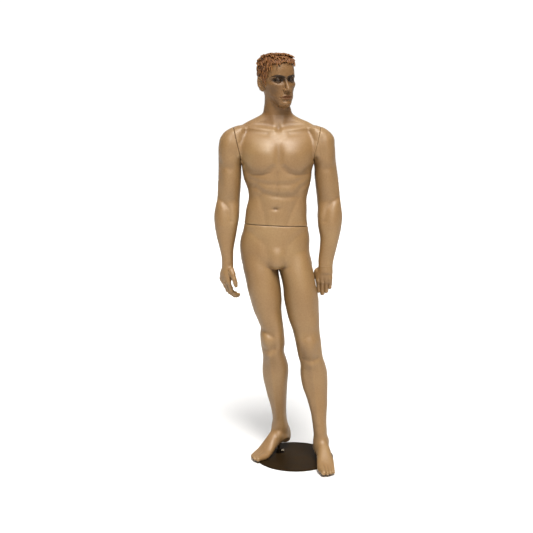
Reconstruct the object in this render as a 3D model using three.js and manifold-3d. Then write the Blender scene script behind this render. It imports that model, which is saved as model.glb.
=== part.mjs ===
// Full-body male display mannequin on a round steel base, in millimetres, +Z up.
// The origin is the centre of the base on the floor. The figure faces -Y and its right side is at -X.
// The lower body, torso, arms, hands, head and hair are separate hollow or solid mouldings. Steel fittings
// join them: a foot spigot, a turning waist spigot, shoulder pegs and wrist pins.
import * as THREE from 'three';
import { LoftGeometry } from 'three/addons/geometries/LoftGeometry.js';
import { mergeVertices } from 'three/addons/utils/BufferGeometryUtils.js';
import Module from 'manifold-3d';

const wasm = await Module();
wasm.setup();

// ---- driving dimensions ----
const GAP = 0.3;                       // clearance between touching pieces
const WALL = 5;                        // moulding wall
const SKIN_TOLERANCE = 0.25;           // how far the facets of a moulding may leave its curved sections
const BASE_RADIUS = 180;
const FELT_THICKNESS = 2;
const PLATE_TOP = 8;
const SPIGOT_RADIUS = 6.35;            // 1/2 in rod
const SPIGOT_TOP = 96;
const SPIGOT_AT = [-73, 37];
const WAIST_AT = [-90, 2, 1088.5];
const WAIST_TILT = 0.041;              // the waist seam falls towards the figure's left
const WAIST_SHAFT_RADIUS = 15;
const WAIST_KEY = 34;                  // square key, across flats
const NECK_SEAM_Z = 1570;
// Each shoulder: the middle of its seam, the seam's outward normal, and the way its peg pulls out.
const SHOULDER_RIGHT = { at: [-260, 12, 1450], out: [-0.973, 0, -0.231], pull: [-0.985, 0, 0.174] };
const SHOULDER_LEFT = { at: [92, 12, 1450], out: [0.973, 0, -0.231], pull: [0.985, 0, 0.174] };
const ARMPIT_Z = 1376;
const PEG = 19;                        // square shoulder peg, across flats
const WRIST_Z = 905;
const WRIST_RIGHT = [-310, -14];
const WRIST_LEFT = [135, -16];
const WRIST_PIN_RADIUS = 5;
const WRIST_KEY = 8;                   // square key, across flats
const HEAD_AT = [-84, 0];
const HEAD_TURN = THREE.MathUtils.degToRad(26);

// ---- materials ----
const material = (color, roughness, metalness = 0) =>
  new THREE.MeshStandardMaterial({ color, roughness, metalness });
const SKIN = () => material(0xbd976b, 0.42);
const HAIR = () => material(0x5e4022, 0.55);
const BRONZE = () => material(0x3b3122, 0.4, 0.8);
const STEEL = () => material(0x8b8d8f, 0.38, 0.9);
const CHROME = () => material(0xcfd3d6, 0.12, 1);
const PLYWOOD = () => material(0xb48f60, 0.75);
const FELT = () => material(0x1d1c1a, 0.95);

// ---- solids ----
function solid(geometry, matrix) {
  const bare = new THREE.BufferGeometry().copy(geometry);
  for (const name of Object.keys(bare.attributes)) {
    if (name !== 'position') bare.deleteAttribute(name);
  }
  if (matrix) bare.applyMatrix4(matrix);
  const merged = mergeVertices(bare, 1e-4);
  const triVerts = Uint32Array.from(merged.index.array);
  const vertProperties = Float32Array.from(merged.attributes.position.array);
  return new wasm.Manifold(new wasm.Mesh({ numProp: 3, vertProperties, triVerts }));
}

function join(...solids) {
  return solids.reduce((whole, piece) => whole.add(piece));
}

function largest(whole) {
  return whole.decompose().reduce((best, piece) => (piece.volume() > best.volume() ? piece : best));
}

const group = new THREE.Group();

function addMesh(name, shape, finish, tolerance = 0.05) {
  const out = shape.simplify(tolerance).getMesh();
  const geometry = new THREE.BufferGeometry();
  geometry.setAttribute('position', new THREE.Float32BufferAttribute(out.vertProperties, 3));
  geometry.setIndex(new THREE.Uint32BufferAttribute(out.triVerts, 1));
  geometry.computeVertexNormals();
  const mesh = new THREE.Mesh(geometry, finish);
  mesh.name = name;
  group.add(mesh);
}

// A frame whose z axis points along `direction`, with y kept as near to +Y as it goes.
function frameAt(origin, direction) {
  const z = new THREE.Vector3(...direction).normalize();
  const x = new THREE.Vector3().crossVectors(new THREE.Vector3(0, 1, 0), z).normalize();
  const y = new THREE.Vector3().crossVectors(z, x);
  return new THREE.Matrix4().makeBasis(x, y, z).setPosition(...origin);
}

const shift = (x, y, z) => new THREE.Matrix4().makeTranslation(x, y, z);

// A cylinder or cone along local z from z0 to z1.
function rod(radius, z0, z1, frame, sides = 16, topRadius = radius) {
  const geometry = new THREE.CylinderGeometry(topRadius, radius, z1 - z0, sides);
  geometry.rotateX(Math.PI / 2);
  geometry.translate(0, 0, (z0 + z1) / 2);
  return solid(geometry, frame);
}

// A turned piece: [radius, z] points along its outline, from the axis back to the axis.
function turned(profile, frame, sides = 16) {
  const geometry = new THREE.LatheGeometry(profile.map(([r, z]) => new THREE.Vector2(r, z)), sides);
  geometry.rotateX(Math.PI / 2);
  return solid(geometry, frame);
}

function block(width, depth, z0, z1, frame, x = 0, y = 0) {
  const geometry = new THREE.BoxGeometry(width, depth, z1 - z0);
  geometry.translate(x, y, (z0 + z1) / 2);
  return solid(geometry, frame);
}

// ---- body sections ----
// A row is [z, x right, x left, y front, y back]: one horizontal section through the figure.
function ring([z, x0, x1, y0, y1], count, power) {
  const points = [];
  for (let i = 0; i < count; i += 1) {
    const t = ((i + 0.5) / count) * 2 * Math.PI;
    const c = Math.cos(t);
    const s = Math.sin(t);
    const x = Math.sign(c) * Math.abs(c) ** (2 / power);
    const y = Math.sign(s) * Math.abs(s) ** (2 / power);
    points.push(new THREE.Vector3(
      (x0 + x1) / 2 + (x * (x1 - x0)) / 2,
      (y0 + y1) / 2 + (y * (y1 - y0)) / 2,
      z,
    ));
  }
  return points;
}

// A closed loft. Its sections may run either way round and in either direction.
function loft(sections, matrix) {
  const middle = (points) => {
    const sum = points.reduce((total, p) => total.add(p), new THREE.Vector3());
    return sum.divideScalar(points.length);
  };
  const first = sections[0];
  const start = middle(first);
  const along = middle(sections[sections.length - 1]).sub(start);
  const normal = new THREE.Vector3();
  first.forEach((p, i) => {
    const q = first[(i + 1) % first.length];
    normal.add(p.clone().sub(start).cross(q.clone().sub(start)));
  });
  const rings = normal.dot(along) < 0 ? sections.map((points) => [...points].reverse()) : sections;
  return solid(new LoftGeometry(rings, { capStart: true, capEnd: true }), matrix);
}

const body = (rows, count = 28, power = 2.3, matrix = undefined) =>
  loft(rows.map((row) => ring(row, count, power)), matrix);

const inset = (rows, t = WALL) => rows.map(([z, x0, x1, y0, y1]) => [z, x0 + t, x1 - t, y0 + t, y1 - t]);

// A limb through `path`, one row per section: [x, y, z, half width, half thickness].
function limb(path, widthAxis, thicknessAxis, count = 10) {
  const sections = path.map(([x, y, z, w, h]) => {
    const points = [];
    for (let i = 0; i < count; i += 1) {
      const t = (i / count) * 2 * Math.PI;
      points.push(
        new THREE.Vector3(x, y, z)
          .addScaledVector(widthAxis, w * Math.cos(t))
          .addScaledVector(thicknessAxis, h * Math.sin(t)),
      );
    }
    return points;
  });
  return loft(sections);
}

// ---- trunk, from the hips to the neck ----
const TRUNK = [
  [1060, -238, 58, -92, 104],
  [1118, -234, 49, -90, 92],
  [1160, -229, 48, -92, 88],
  [1207, -217, 48, -96, 86],
  [1245, -220, 57, -101, 91],
  [1290, -234, 67, -108, 104],
  [1335, -238, 70, -119, 116],
  [1376, -240, 72, -124, 122],
  [1420, -264, 96, -122, 124],
  [1455, -274, 106, -113, 122],
  [1485, -280, 112, -94, 114],
  [1510, -277, 109, -66, 100],
  [1525, -258, 90, -50, 92],
  [1542, -226, 62, -38, 84],
  [1560, -190, 22, -28, 78],
  [1577, -160, -12, -26, 72],
  [1600, -147, -21, -30, 66],
];
const TRUNK_INSIDE = [
  [1050, -238, 58, -92, 104],
  ...TRUNK.slice(1, 8),
  [1420, -242, 74, -122, 120],
  [1455, -238, 70, -108, 116],
  [1485, -230, 62, -84, 106],
  [1510, -212, 44, -56, 92],
  [1530, -190, 22, -38, 82],
  [1555, -156, -16, -22, 70],
  [1610, -146, -24, -24, 62],
];

// ---- arms, from the top of the shoulder to the wrist ----
const ARM_RIGHT = [
  [1530, -284, -226, -20, 46],
  [1520, -298, -216, -38, 62],
  [1504, -318, -208, -50, 74],
  [1480, -337, -206, -58, 80],
  [1440, -348, -212, -62, 84],
  [1400, -350, -232, -60, 82],
  [1350, -350, -246, -52, 76],
  [1310, -350, -246, -46, 72],
  [1260, -354, -247, -42, 70],
  [1200, -357, -252, -38, 66],
  [1165, -366, -253, -40, 66],
  [1125, -370, -254, -46, 60],
  [1080, -369, -261, -48, 52],
  [1030, -361, -271, -46, 40],
  [980, -350, -279, -42, 26],
  [935, -341, -280, -37, 12],
  [880, -338, -282, -35, 8],
];
const ARM_LEFT = [
  [1530, 116, 58, -20, 46],
  [1520, 130, 48, -38, 62],
  [1504, 149, 40, -50, 74],
  [1480, 166, 38, -58, 80],
  [1440, 174, 44, -62, 84],
  [1400, 178, 64, -60, 82],
  [1350, 184, 79, -52, 76],
  [1310, 189, 80, -46, 72],
  [1260, 195, 84, -42, 70],
  [1200, 200, 94, -38, 64],
  [1165, 204, 97, -42, 62],
  [1125, 210, 94, -48, 56],
  [1080, 206, 95, -50, 48],
  [1030, 195, 107, -48, 36],
  [980, 182, 105, -44, 24],
  [935, 170, 103, -39, 12],
  [880, 165, 106, -37, 6],
].map(([z, outer, inner, y0, y1]) => [z, inner, outer, y0, y1]);

// ---- hips and legs ----
const PELVIS = [
  [1112, -235, 50, -90, 93],
  [1064, -239, 57, -92, 104],
  [1028, -252, 63, -94, 117],
  [990, -257, 63, -96, 129],
  [950, -256, 65, -98, 135],
  [915, -250, 73, -98, 134],
  [885, -238, 74, -88, 122],
  [862, -190, 30, -60, 90],
];
const PELVIS_INSIDE = [[1130, -234, 49, -90, 92], ...PELVIS.slice(0, 6), [895, -214, 44, -84, 118]];
const LEG_RIGHT = [
  [960, -240, -92, -88, 126],
  [900, -249, -86, -96, 132],
  [850, -236, -81, -100, 120],
  [800, -222, -72, -102, 104],
  [754, -208, -61, -102, 90],
  [700, -195, -63, -98, 76],
  [655, -180, -58, -91, 63],
  [605, -165, -51, -88, 52],
  [549, -159, -48, -87, 46],
  [512, -154, -51, -80, 54],
  [474, -150, -42, -68, 67],
  [436, -153, -31, -56, 80],
  [398, -154, -30, -46, 90],
  [361, -149, -33, -38, 95],
  [323, -140, -35, -28, 95],
  [284, -131, -37, -16, 94],
  [246, -122, -38, -5, 94],
  [208, -113, -38, 6, 98],
  [165, -107, -34, 18, 106],
  [125, -106, -27, 26, 116],
  [90, -100, -26, 34, 116],
];
const LEG_LEFT = [
  [960, -82, 60, -90, 124],
  [900, -82, 75, -98, 128],
  [850, -78, 84, -104, 114],
  [800, -68, 95, -108, 98],
  [758, -54, 104, -109, 84],
  [706, -42, 106, -107, 70],
  [664, -31, 109, -103, 57],
  [614, -13, 109, -99, 44],
  [560, -3, 116, -100, 30],
  [524, 2, 120, -95, 32],
  [487, 8, 126, -85, 41],
  [450, 19, 139, -77, 48],
  [412, 21, 148, -72, 52],
  [376, 26, 150, -70, 48],
  [338, 35, 150, -67, 36],
  [300, 48, 149, -67, 24],
  [262, 58, 149, -70, 12],
  [224, 67, 146, -75, 4],
  [186, 72, 145, -80, 0],
  [146, 75, 147, -86, 2],
  [100, 78, 148, -88, 4],
];

// A foot runs along local +x from the heel.
// A row is [distance from heel, half width, sole z, upper z, side offset].
function foot(heel, degrees, rows) {
  const angle = THREE.MathUtils.degToRad(degrees);
  const matrix = new THREE.Matrix4().makeRotationZ(angle).setPosition(heel[0], heel[1], 0);
  const sections = rows.map(([s, w, z0, z1, side]) => {
    const points = [];
    for (let i = 0; i < 14; i += 1) {
      const t = ((i + 0.5) / 14) * 2 * Math.PI;
      const c = Math.cos(t);
      const u = Math.sin(t);
      const z = (z0 + z1) / 2 + ((Math.sign(u) * Math.abs(u) ** 0.8) * (z1 - z0)) / 2;
      points.push(new THREE.Vector3(s, side + w * Math.sign(c) * Math.abs(c) ** 0.8, z));
    }
    return points;
  });
  return loft(sections, matrix);
}
const SOLE = PLATE_TOP + GAP;
const footRight = foot([-20, 124], 229, [
  [0, 14, 62, 96, 0],
  [12, 27, 46, 118, 0],
  [38, 32, 41, 128, 0],
  [75, 34, 42, 128, 0],
  [105, 35, 36, 110, 0],
  [140, 39, 25, 88, 0],
  [175, 44, 13, 64, 2],
  [205, 45, SOLE, 46, 3],
  [232, 41, SOLE, 34, 4],
  [252, 31, SOLE, 27, 6],
  [261, 16, SOLE + 5, 21, 8],
]);
const footLeft = foot([103, 10], 275, [
  [0, 14, 38, 72, 0],
  [12, 27, 25, 96, 0],
  [38, 32, 22, 122, 0],
  [75, 34, 27, 122, 0],
  [105, 35, 26, 100, 0],
  [140, 39, 18, 80, 0],
  [175, 44, 10, 58, 2],
  [205, 45, SOLE, 44, 3],
  [232, 41, SOLE, 34, 4],
  [252, 31, SOLE, 27, 2],
  [261, 16, SOLE + 5, 21, 0],
]);

// ---- seam planes ----
const waistFrame = frameAt(WAIST_AT, [WAIST_TILT, 0, 1]);
const aboveWaist = block(900, 900, GAP, 1000, waistFrame);
const belowWaist = block(900, 900, -1300, 0, waistFrame);

function shoulderFrame(shoulder) {
  return frameAt(shoulder.at, shoulder.out);
}
// Everything outside a shoulder seam, above the armpit.
function shoulderSide(shoulder, offset) {
  const frame = shoulderFrame(shoulder);
  const above = block(2000, 2000, ARMPIT_Z, 2000);
  return block(600, 600, offset, 600, frame).intersect(above);
}

// ---- lower body: pelvis, legs and feet in one moulding ----
function lowerBody() {
  const groin = new THREE.SphereGeometry(1, 12, 8);
  groin.scale(36, 26, 52);
  groin.translate(-88, -88, 950);
  const outside = join(
    body(PELVIS, 24),
    body(LEG_RIGHT, 14, 2.1),
    body(LEG_LEFT, 14, 2.1),
    footRight,
    footLeft,
    solid(groin),
  );
  const inside = join(
    body(inset(PELVIS_INSIDE), 14),
    body(inset(LEG_RIGHT.slice(0, 18)), 8, 2.1),
    body(inset(LEG_LEFT.slice(0, 18)), 8, 2.1),
  );
  const socketHole = rod(8.8 + GAP, 0, 102, shift(SPIGOT_AT[0], SPIGOT_AT[1], 0));
  return largest(outside.subtract(inside).intersect(belowWaist).subtract(socketHole));
}

// ---- torso ----
const shoulders = [SHOULDER_RIGHT, SHOULDER_LEFT];

function torso() {
  const belowNeck = block(900, 900, 0, NECK_SEAM_Z - GAP);
  let shell = body(TRUNK, 26);
  const caps = join(body(ARM_RIGHT.slice(0, 6), 14, 2.1), body(ARM_LEFT.slice(0, 6), 14, 2.1));
  shell = shell.add(caps.intersect(block(2000, 2000, ARMPIT_Z, 2000)));
  shell = shell.intersect(aboveWaist).intersect(belowNeck);
  let inside = body(inset(TRUNK_INSIDE), 14);
  for (const shoulder of shoulders) {
    inside = inside.subtract(shoulderSide(shoulder, -12));
  }
  shell = shell.subtract(inside);
  for (const shoulder of shoulders) {
    const frame = shoulderFrame(shoulder);
    shell = shell.subtract(shoulderSide(shoulder, 0));
    shell = shell.subtract(rod(32 + GAP, -4.6, 5, frame, 20));
    shell = shell.subtract(block(26, 26, -80, 9, frameAt(shoulder.at, shoulder.pull)));
    for (const x of [-24, 24]) {
      shell = shell.subtract(rod(2.4, -11, 0, frame.clone().multiply(shift(0, x, 0)), 8));
    }
  }
  return largest(shell);
}

function armShell(rows, shoulder, wrist) {
  const frame = shoulderFrame(shoulder);
  const outsideSeam = block(1400, 1400, GAP, 1400, frame);
  const aboveWrist = block(900, 900, WRIST_Z, 3000);
  const top = [1514, rows[1][1] + 6, rows[1][2] - 6, -26, 52];
  const inner = [top, ...rows.slice(2, 14)];
  let shell = body(rows, 14, 2.1).intersect(outsideSeam).intersect(aboveWrist);
  let inside = body(inset(inner, WALL + 1), 8, 2.1);
  inside = inside.intersect(block(1400, 1400, GAP + 9, 1400, frame));
  shell = shell.subtract(inside);
  shell = shell.subtract(rod(32 + GAP, -5, 4.9, frame, 20));
  shell = shell.subtract(rod(16, 0, 60, frame));
  for (const x of [-24, 24]) {
    shell = shell.subtract(rod(2.4, 0, 11, frame.clone().multiply(shift(0, x, 0)), 8));
  }
  shell = shell.subtract(rod(7 + GAP, WRIST_Z - 5, WRIST_Z + 40, shift(wrist[0], wrist[1], 0)));
  return largest(shell);
}

// ---- head and hair, in a frame turned to the figure's left ----
const headFrame = new THREE.Matrix4().makeRotationZ(HEAD_TURN).setPosition(HEAD_AT[0], HEAD_AT[1], 0);
const HEAD = [
  [1602, -20, 20, -82, -48],
  [1610, -31, 31, -91, -20],
  [1626, -45, 45, -95, 24],
  [1648, -58, 58, -95, 50],
  [1675, -67, 67, -97, 72],
  [1702, -72, 72, -96, 88],
  [1730, -76, 76, -96, 96],
  [1762, -76, 76, -96, 98],
  [1790, -71, 71, -86, 92],
  [1812, -58, 58, -64, 76],
  [1830, -34, 34, -34, 46],
];
const HAIR_ROWS = [
  [1640, -56, 56, 0, 66],
  [1665, -70, 70, 4, 84],
  [1700, -79, 79, 10, 98],
  [1730, -83, 83, -30, 106],
  [1762, -84, 84, -100, 108],
  [1785, -81, 81, -99, 104],
  [1808, -71, 71, -86, 92],
  [1826, -54, 54, -62, 70],
  [1840, -24, 24, -26, 34],
];
const NECK = [
  [1560, -150, -20, -27, 74],
  [1595, -147, -22, -30, 66],
  [1640, -143, -22, -44, 60],
  [1690, -142, -24, -50, 60],
];

// Both ears, grown by `clearance` where another piece has to miss them.
function ears(clearance) {
  const pair = [-1, 1].map((side) => {
    const ear = new THREE.SphereGeometry(1, 12, 8);
    ear.scale(7 + clearance, 18 + clearance, 32 + clearance);
    ear.rotateX(-0.15);
    ear.translate(side * 76, 8, 1708);
    return solid(ear, headFrame);
  });
  return join(...pair);
}

function headSolid() {
  const nose = loft([
    [1733, -5, 5, -99, -80],
    [1712, -8, 8, -104, -80],
    [1690, -12, 12, -113, -80],
    [1676, -16, 16, -119, -80],
    [1666, -15, 15, -112, -80],
    [1661, -9, 9, -102, -80],
  ].map((row) => ring(row, 12, 2)), headFrame);
  return join(body(HEAD, 20, 2.15, headFrame), nose, ears(0));
}

function headShell() {
  const outside = headSolid().add(body(NECK, 22, 2.1));
  const inside = join(
    body(inset(HEAD.slice(2, 10), WALL + 1), 10, 2.15, headFrame),
    body(inset([[1550, ...NECK[0].slice(1)], ...NECK.slice(1)], WALL + 1), 10, 2.1),
  );
  return largest(outside.subtract(inside).intersect(block(900, 900, NECK_SEAM_Z, 2000)));
}

function hair() {
  const scalp = inset(HEAD, -0.6);
  scalp.push([1830.6, ...scalp.pop().slice(1)]);
  const cap = body(HAIR_ROWS, 20, 2.15, headFrame);
  const cuts = [
    block(300, 120, 1500, 1786, headFrame, 0, -110),
    block(300, 120, 1500, 1742, headFrame, 0, -48),
    block(300, 120, 1500, 1664, headFrame, 0, -30),
  ];
  const grownNeck = NECK.map(([z, x0, x1, y0, y1]) => [z, x0 - 1, x1 + 1, y0 - 1, y1 + 1]);
  let shape = cap.subtract(body(scalp, 20, 2.15, headFrame));
  shape = shape.subtract(ears(2 * GAP)).subtract(body(grownNeck, 22, 2.1));
  for (const cut of cuts) {
    shape = shape.subtract(cut);
  }
  return largest(shape);
}

// ---- hands ----
// Local axes: thumb side, palm side and down to the fingertips, from the centre of the wrist seam.
function hand({ wrist, thumbAxis, palmAxis, bend, thumb }) {
  const side = new THREE.Vector3(...thumbAxis).normalize();
  const palm = new THREE.Vector3(...palmAxis).normalize();
  const down = new THREE.Vector3(0, 0, -1);
  const origin = new THREE.Vector3(wrist[0], wrist[1], WRIST_Z - 2 * GAP);
  const at = (x, y, z) =>
    origin.clone().addScaledVector(side, x).addScaledVector(palm, y).addScaledVector(down, z).toArray();
  const pieces = [
    limb([
      [...at(0, 0, 0), 29, 21],
      [...at(1, 0, 22), 29, 20],
      [...at(2, 2, 46), 35, 18],
      [...at(1, 3, 72), 40, 15],
      [...at(0, 3, 92), 38, 12],
    ], side, palm, 12),
  ];
  const fingers = [
    [29, 84, 9.6, 1],
    [10, 88, 10, 1.08],
    [-9, 85, 9.6, 1],
    [-27, 78, 8.6, 0.8],
  ];
  for (const [x, z, radius, size] of fingers) {
    const path = [];
    let y = 3;
    let reach = z - 10;
    let angle = 0;
    path.push([...at(x, y, reach), radius, radius]);
    const phalanges = [
      [12, 0, 1],
      [40, bend[0], 0.94],
      [26, bend[1], 0.86],
      [16, bend[2], 0.72],
      [6, 0, 0.4],
    ];
    for (const [step, turn, thin] of phalanges) {
      angle += THREE.MathUtils.degToRad(turn);
      y += Math.sin(angle) * step * size;
      reach += Math.cos(angle) * step * size;
      path.push([...at(x, y, reach), radius * thin, radius * thin, angle]);
    }
    pieces.push(fingerLoft(path, side, palm, down));
  }
  pieces.push(fingerLoft([
    [...at(16, 4, 12), 13, 13],
    [...at(31, 9, 34), 13, 13],
    ...thumb.map(([x, y, z, radius]) => [...at(x, y, z), radius, radius]),
  ], side, palm, down));
  const topCut = block(900, 900, 0, WRIST_Z - 2 * GAP);
  const flange = rod(11 + GAP, WRIST_Z - 6, WRIST_Z + 5, shift(wrist[0], wrist[1], 0));
  const insert = rod(7 + GAP, WRIST_Z - 30, WRIST_Z + 5, shift(wrist[0], wrist[1], 0));
  return largest(join(...pieces).intersect(topCut).subtract(flange).subtract(insert));
}

function fingerLoft(path, side, palm, down) {
  const sections = path.map(([x, y, z, w, h, angle = 0]) => {
    const across = palm.clone().multiplyScalar(Math.cos(angle)).addScaledVector(down, -Math.sin(angle));
    const points = [];
    for (let i = 0; i < 8; i += 1) {
      const t = (i / 8) * 2 * Math.PI;
      points.push(
        new THREE.Vector3(x, y, z)
          .addScaledVector(side, w * Math.cos(t))
          .addScaledVector(across, h * Math.sin(t)),
      );
    }
    return points;
  });
  return loft(sections);
}

// A countersunk screw along local z, head at z = 0 and pointing down.
function screw(frame, length, radius = 2, head = 3.8) {
  return turned([[0, -length], [radius, -length], [radius, -2.2], [head, 0], [0, 0]], frame, 8);
}
const screwHole = (frame, length, radius = 2, head = 3.8) => turned([
  [0, -length - GAP],
  [radius + GAP, -length - GAP],
  [radius + GAP, -2.2],
  [head + 2 * GAP, 0],
  [head + 2 * GAP, 2],
  [0, 2],
], frame, 8);

// ---- base ----
const spigotFrame = shift(SPIGOT_AT[0], SPIGOT_AT[1], 0);
const felt = rod(BASE_RADIUS - 3, 0, FELT_THICKNESS, undefined, 48)
  .subtract(rod(12, -1, 5, spigotFrame));
addMesh('base_felt', felt, FELT());

const plate = turned([
  [0, FELT_THICKNESS + GAP],
  [BASE_RADIUS - 1, FELT_THICKNESS + GAP],
  [BASE_RADIUS, FELT_THICKNESS + GAP + 1],
  [BASE_RADIUS, PLATE_TOP - 2],
  [BASE_RADIUS - 2.5, PLATE_TOP],
  [0, PLATE_TOP],
], undefined, 48)
  .subtract(rod(4 + GAP, 0, 20, spigotFrame))
  .subtract(rod(9.5, 2, 2.6, spigotFrame, 16))
  .subtract(rod(9.5, 2.6, 6, spigotFrame, 16, 4.5));
addMesh('base_plate', plate, BRONZE());

const bolt = turned([[0, 2.6], [9, 2.6], [4, 6], [4, 30], [0, 30]], spigotFrame)
  .subtract(block(6, 6, 2, 4.4, spigotFrame));
addMesh('spigot_bolt', bolt, STEEL());

const washer = rod(13, PLATE_TOP + GAP, 10, spigotFrame).subtract(rod(4 + GAP, 0, 20, spigotFrame));
addMesh('spigot_washer', washer, STEEL());

const spigot = turned([
  [0, 10 + GAP],
  [SPIGOT_RADIUS, 10 + GAP],
  [SPIGOT_RADIUS, SPIGOT_TOP - 4],
  [SPIGOT_RADIUS - 3, SPIGOT_TOP],
  [0, SPIGOT_TOP],
], spigotFrame).subtract(rod(4 + GAP, 0, 30 + GAP, spigotFrame));
addMesh('foot_spigot', spigot, STEEL());

const knobFrame = frameAt([SPIGOT_AT[0], SPIGOT_AT[1], 20], [1, -0.2, 0]);
const collar = rod(13, 10 + GAP, 29, spigotFrame)
  .subtract(rod(SPIGOT_RADIUS + GAP, 0, 40, spigotFrame))
  .subtract(rod(2.5 + GAP, 0, 20, knobFrame, 12));
addMesh('spigot_collar', collar, BRONZE());

const knob = turned([
  [0, SPIGOT_RADIUS + GAP],
  [2.5, SPIGOT_RADIUS + GAP],
  [2.5, 13.4],
  [6.5, 13.4],
  [6.5, 17],
  [8, 17],
  [8, 25],
  [6, 26.5],
  [0, 26.5],
], knobFrame);
addMesh('spigot_thumb_screw', knob, CHROME());

// ---- lower body and its fittings ----
addMesh('lower_body_shell', lowerBody(), SKIN(), SKIN_TOLERANCE);

const footSocket = rod(8.8, 44, 101, spigotFrame).subtract(rod(SPIGOT_RADIUS + GAP, 0, 98, spigotFrame));
// The socket ends flush with the sole of the foot.
const footCore = footRight.intersect(block(60, 60, 0, 200, spigotFrame));
addMesh('foot_socket', footSocket.intersect(footCore), STEEL());

const bulkhead = (rows, z0, z1) =>
  body(inset(rows, WALL + 2 * GAP), 14).intersect(block(900, 900, z0, z1, waistFrame));
const screwAngles = [90, 210, 330];
const around = (radius, degrees, z) => {
  const t = THREE.MathUtils.degToRad(degrees);
  return waistFrame.clone().multiply(shift(radius * Math.cos(t), radius * Math.sin(t), z));
};

let pelvisBoard = bulkhead(PELVIS_INSIDE, -24, -12);
pelvisBoard = pelvisBoard.subtract(rod(21, -80, 10, waistFrame, 20));
let socketPlate = join(rod(55, -11.7, -6.7, waistFrame, 20), rod(20, -70, -7, waistFrame, 20))
  .subtract(rod(WAIST_SHAFT_RADIUS + GAP, -90, 10, waistFrame, 20));
screwAngles.forEach((degrees, i) => {
  const frame = around(42, degrees, -6.9);
  socketPlate = socketPlate.subtract(screwHole(frame, 15));
  pelvisBoard = pelvisBoard.subtract(screwHole(frame, 15));
  addMesh(`waist_socket_screw_${i + 1}`, screw(frame, 15), STEEL());
});
addMesh('pelvis_bulkhead', pelvisBoard, PLYWOOD());
addMesh('waist_socket', socketPlate, STEEL());

const waistSpigot = join(
  rod(WAIST_SHAFT_RADIUS, -68, -6, waistFrame, 20),
  rod(40, -6.4, -0.4, waistFrame, 20),
  block(WAIST_KEY, WAIST_KEY, -1, 30, waistFrame),
);
addMesh('waist_spigot', waistSpigot, STEEL());

// ---- torso and its fittings ----
addMesh('torso_shell', torso(), SKIN(), SKIN_TOLERANCE);

let torsoBoard = bulkhead(TRUNK_INSIDE, 5.7, 17.7);
torsoBoard = torsoBoard.subtract(block(WAIST_KEY + 4, WAIST_KEY + 4, -10, 40, waistFrame));
let keyPlate = rod(55, 0.6, 5.4, waistFrame, 20)
  .subtract(block(WAIST_KEY + 2 * GAP, WAIST_KEY + 2 * GAP, -10, 40, waistFrame));
const upsideDown = new THREE.Matrix4().makeRotationX(Math.PI);
screwAngles.forEach((degrees, i) => {
  const frame = around(42, degrees, 0.8).multiply(upsideDown);
  keyPlate = keyPlate.subtract(screwHole(frame, 15));
  torsoBoard = torsoBoard.subtract(screwHole(frame, 15));
  addMesh(`waist_key_screw_${i + 1}`, screw(frame, 15), STEEL());
});
addMesh('torso_bulkhead', torsoBoard, PLYWOOD());
addMesh('waist_key_plate', keyPlate, STEEL());

addMesh('head_shell', headShell(), SKIN(), SKIN_TOLERANCE);
addMesh('hair', hair(), HAIR(), 0.15);

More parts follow.
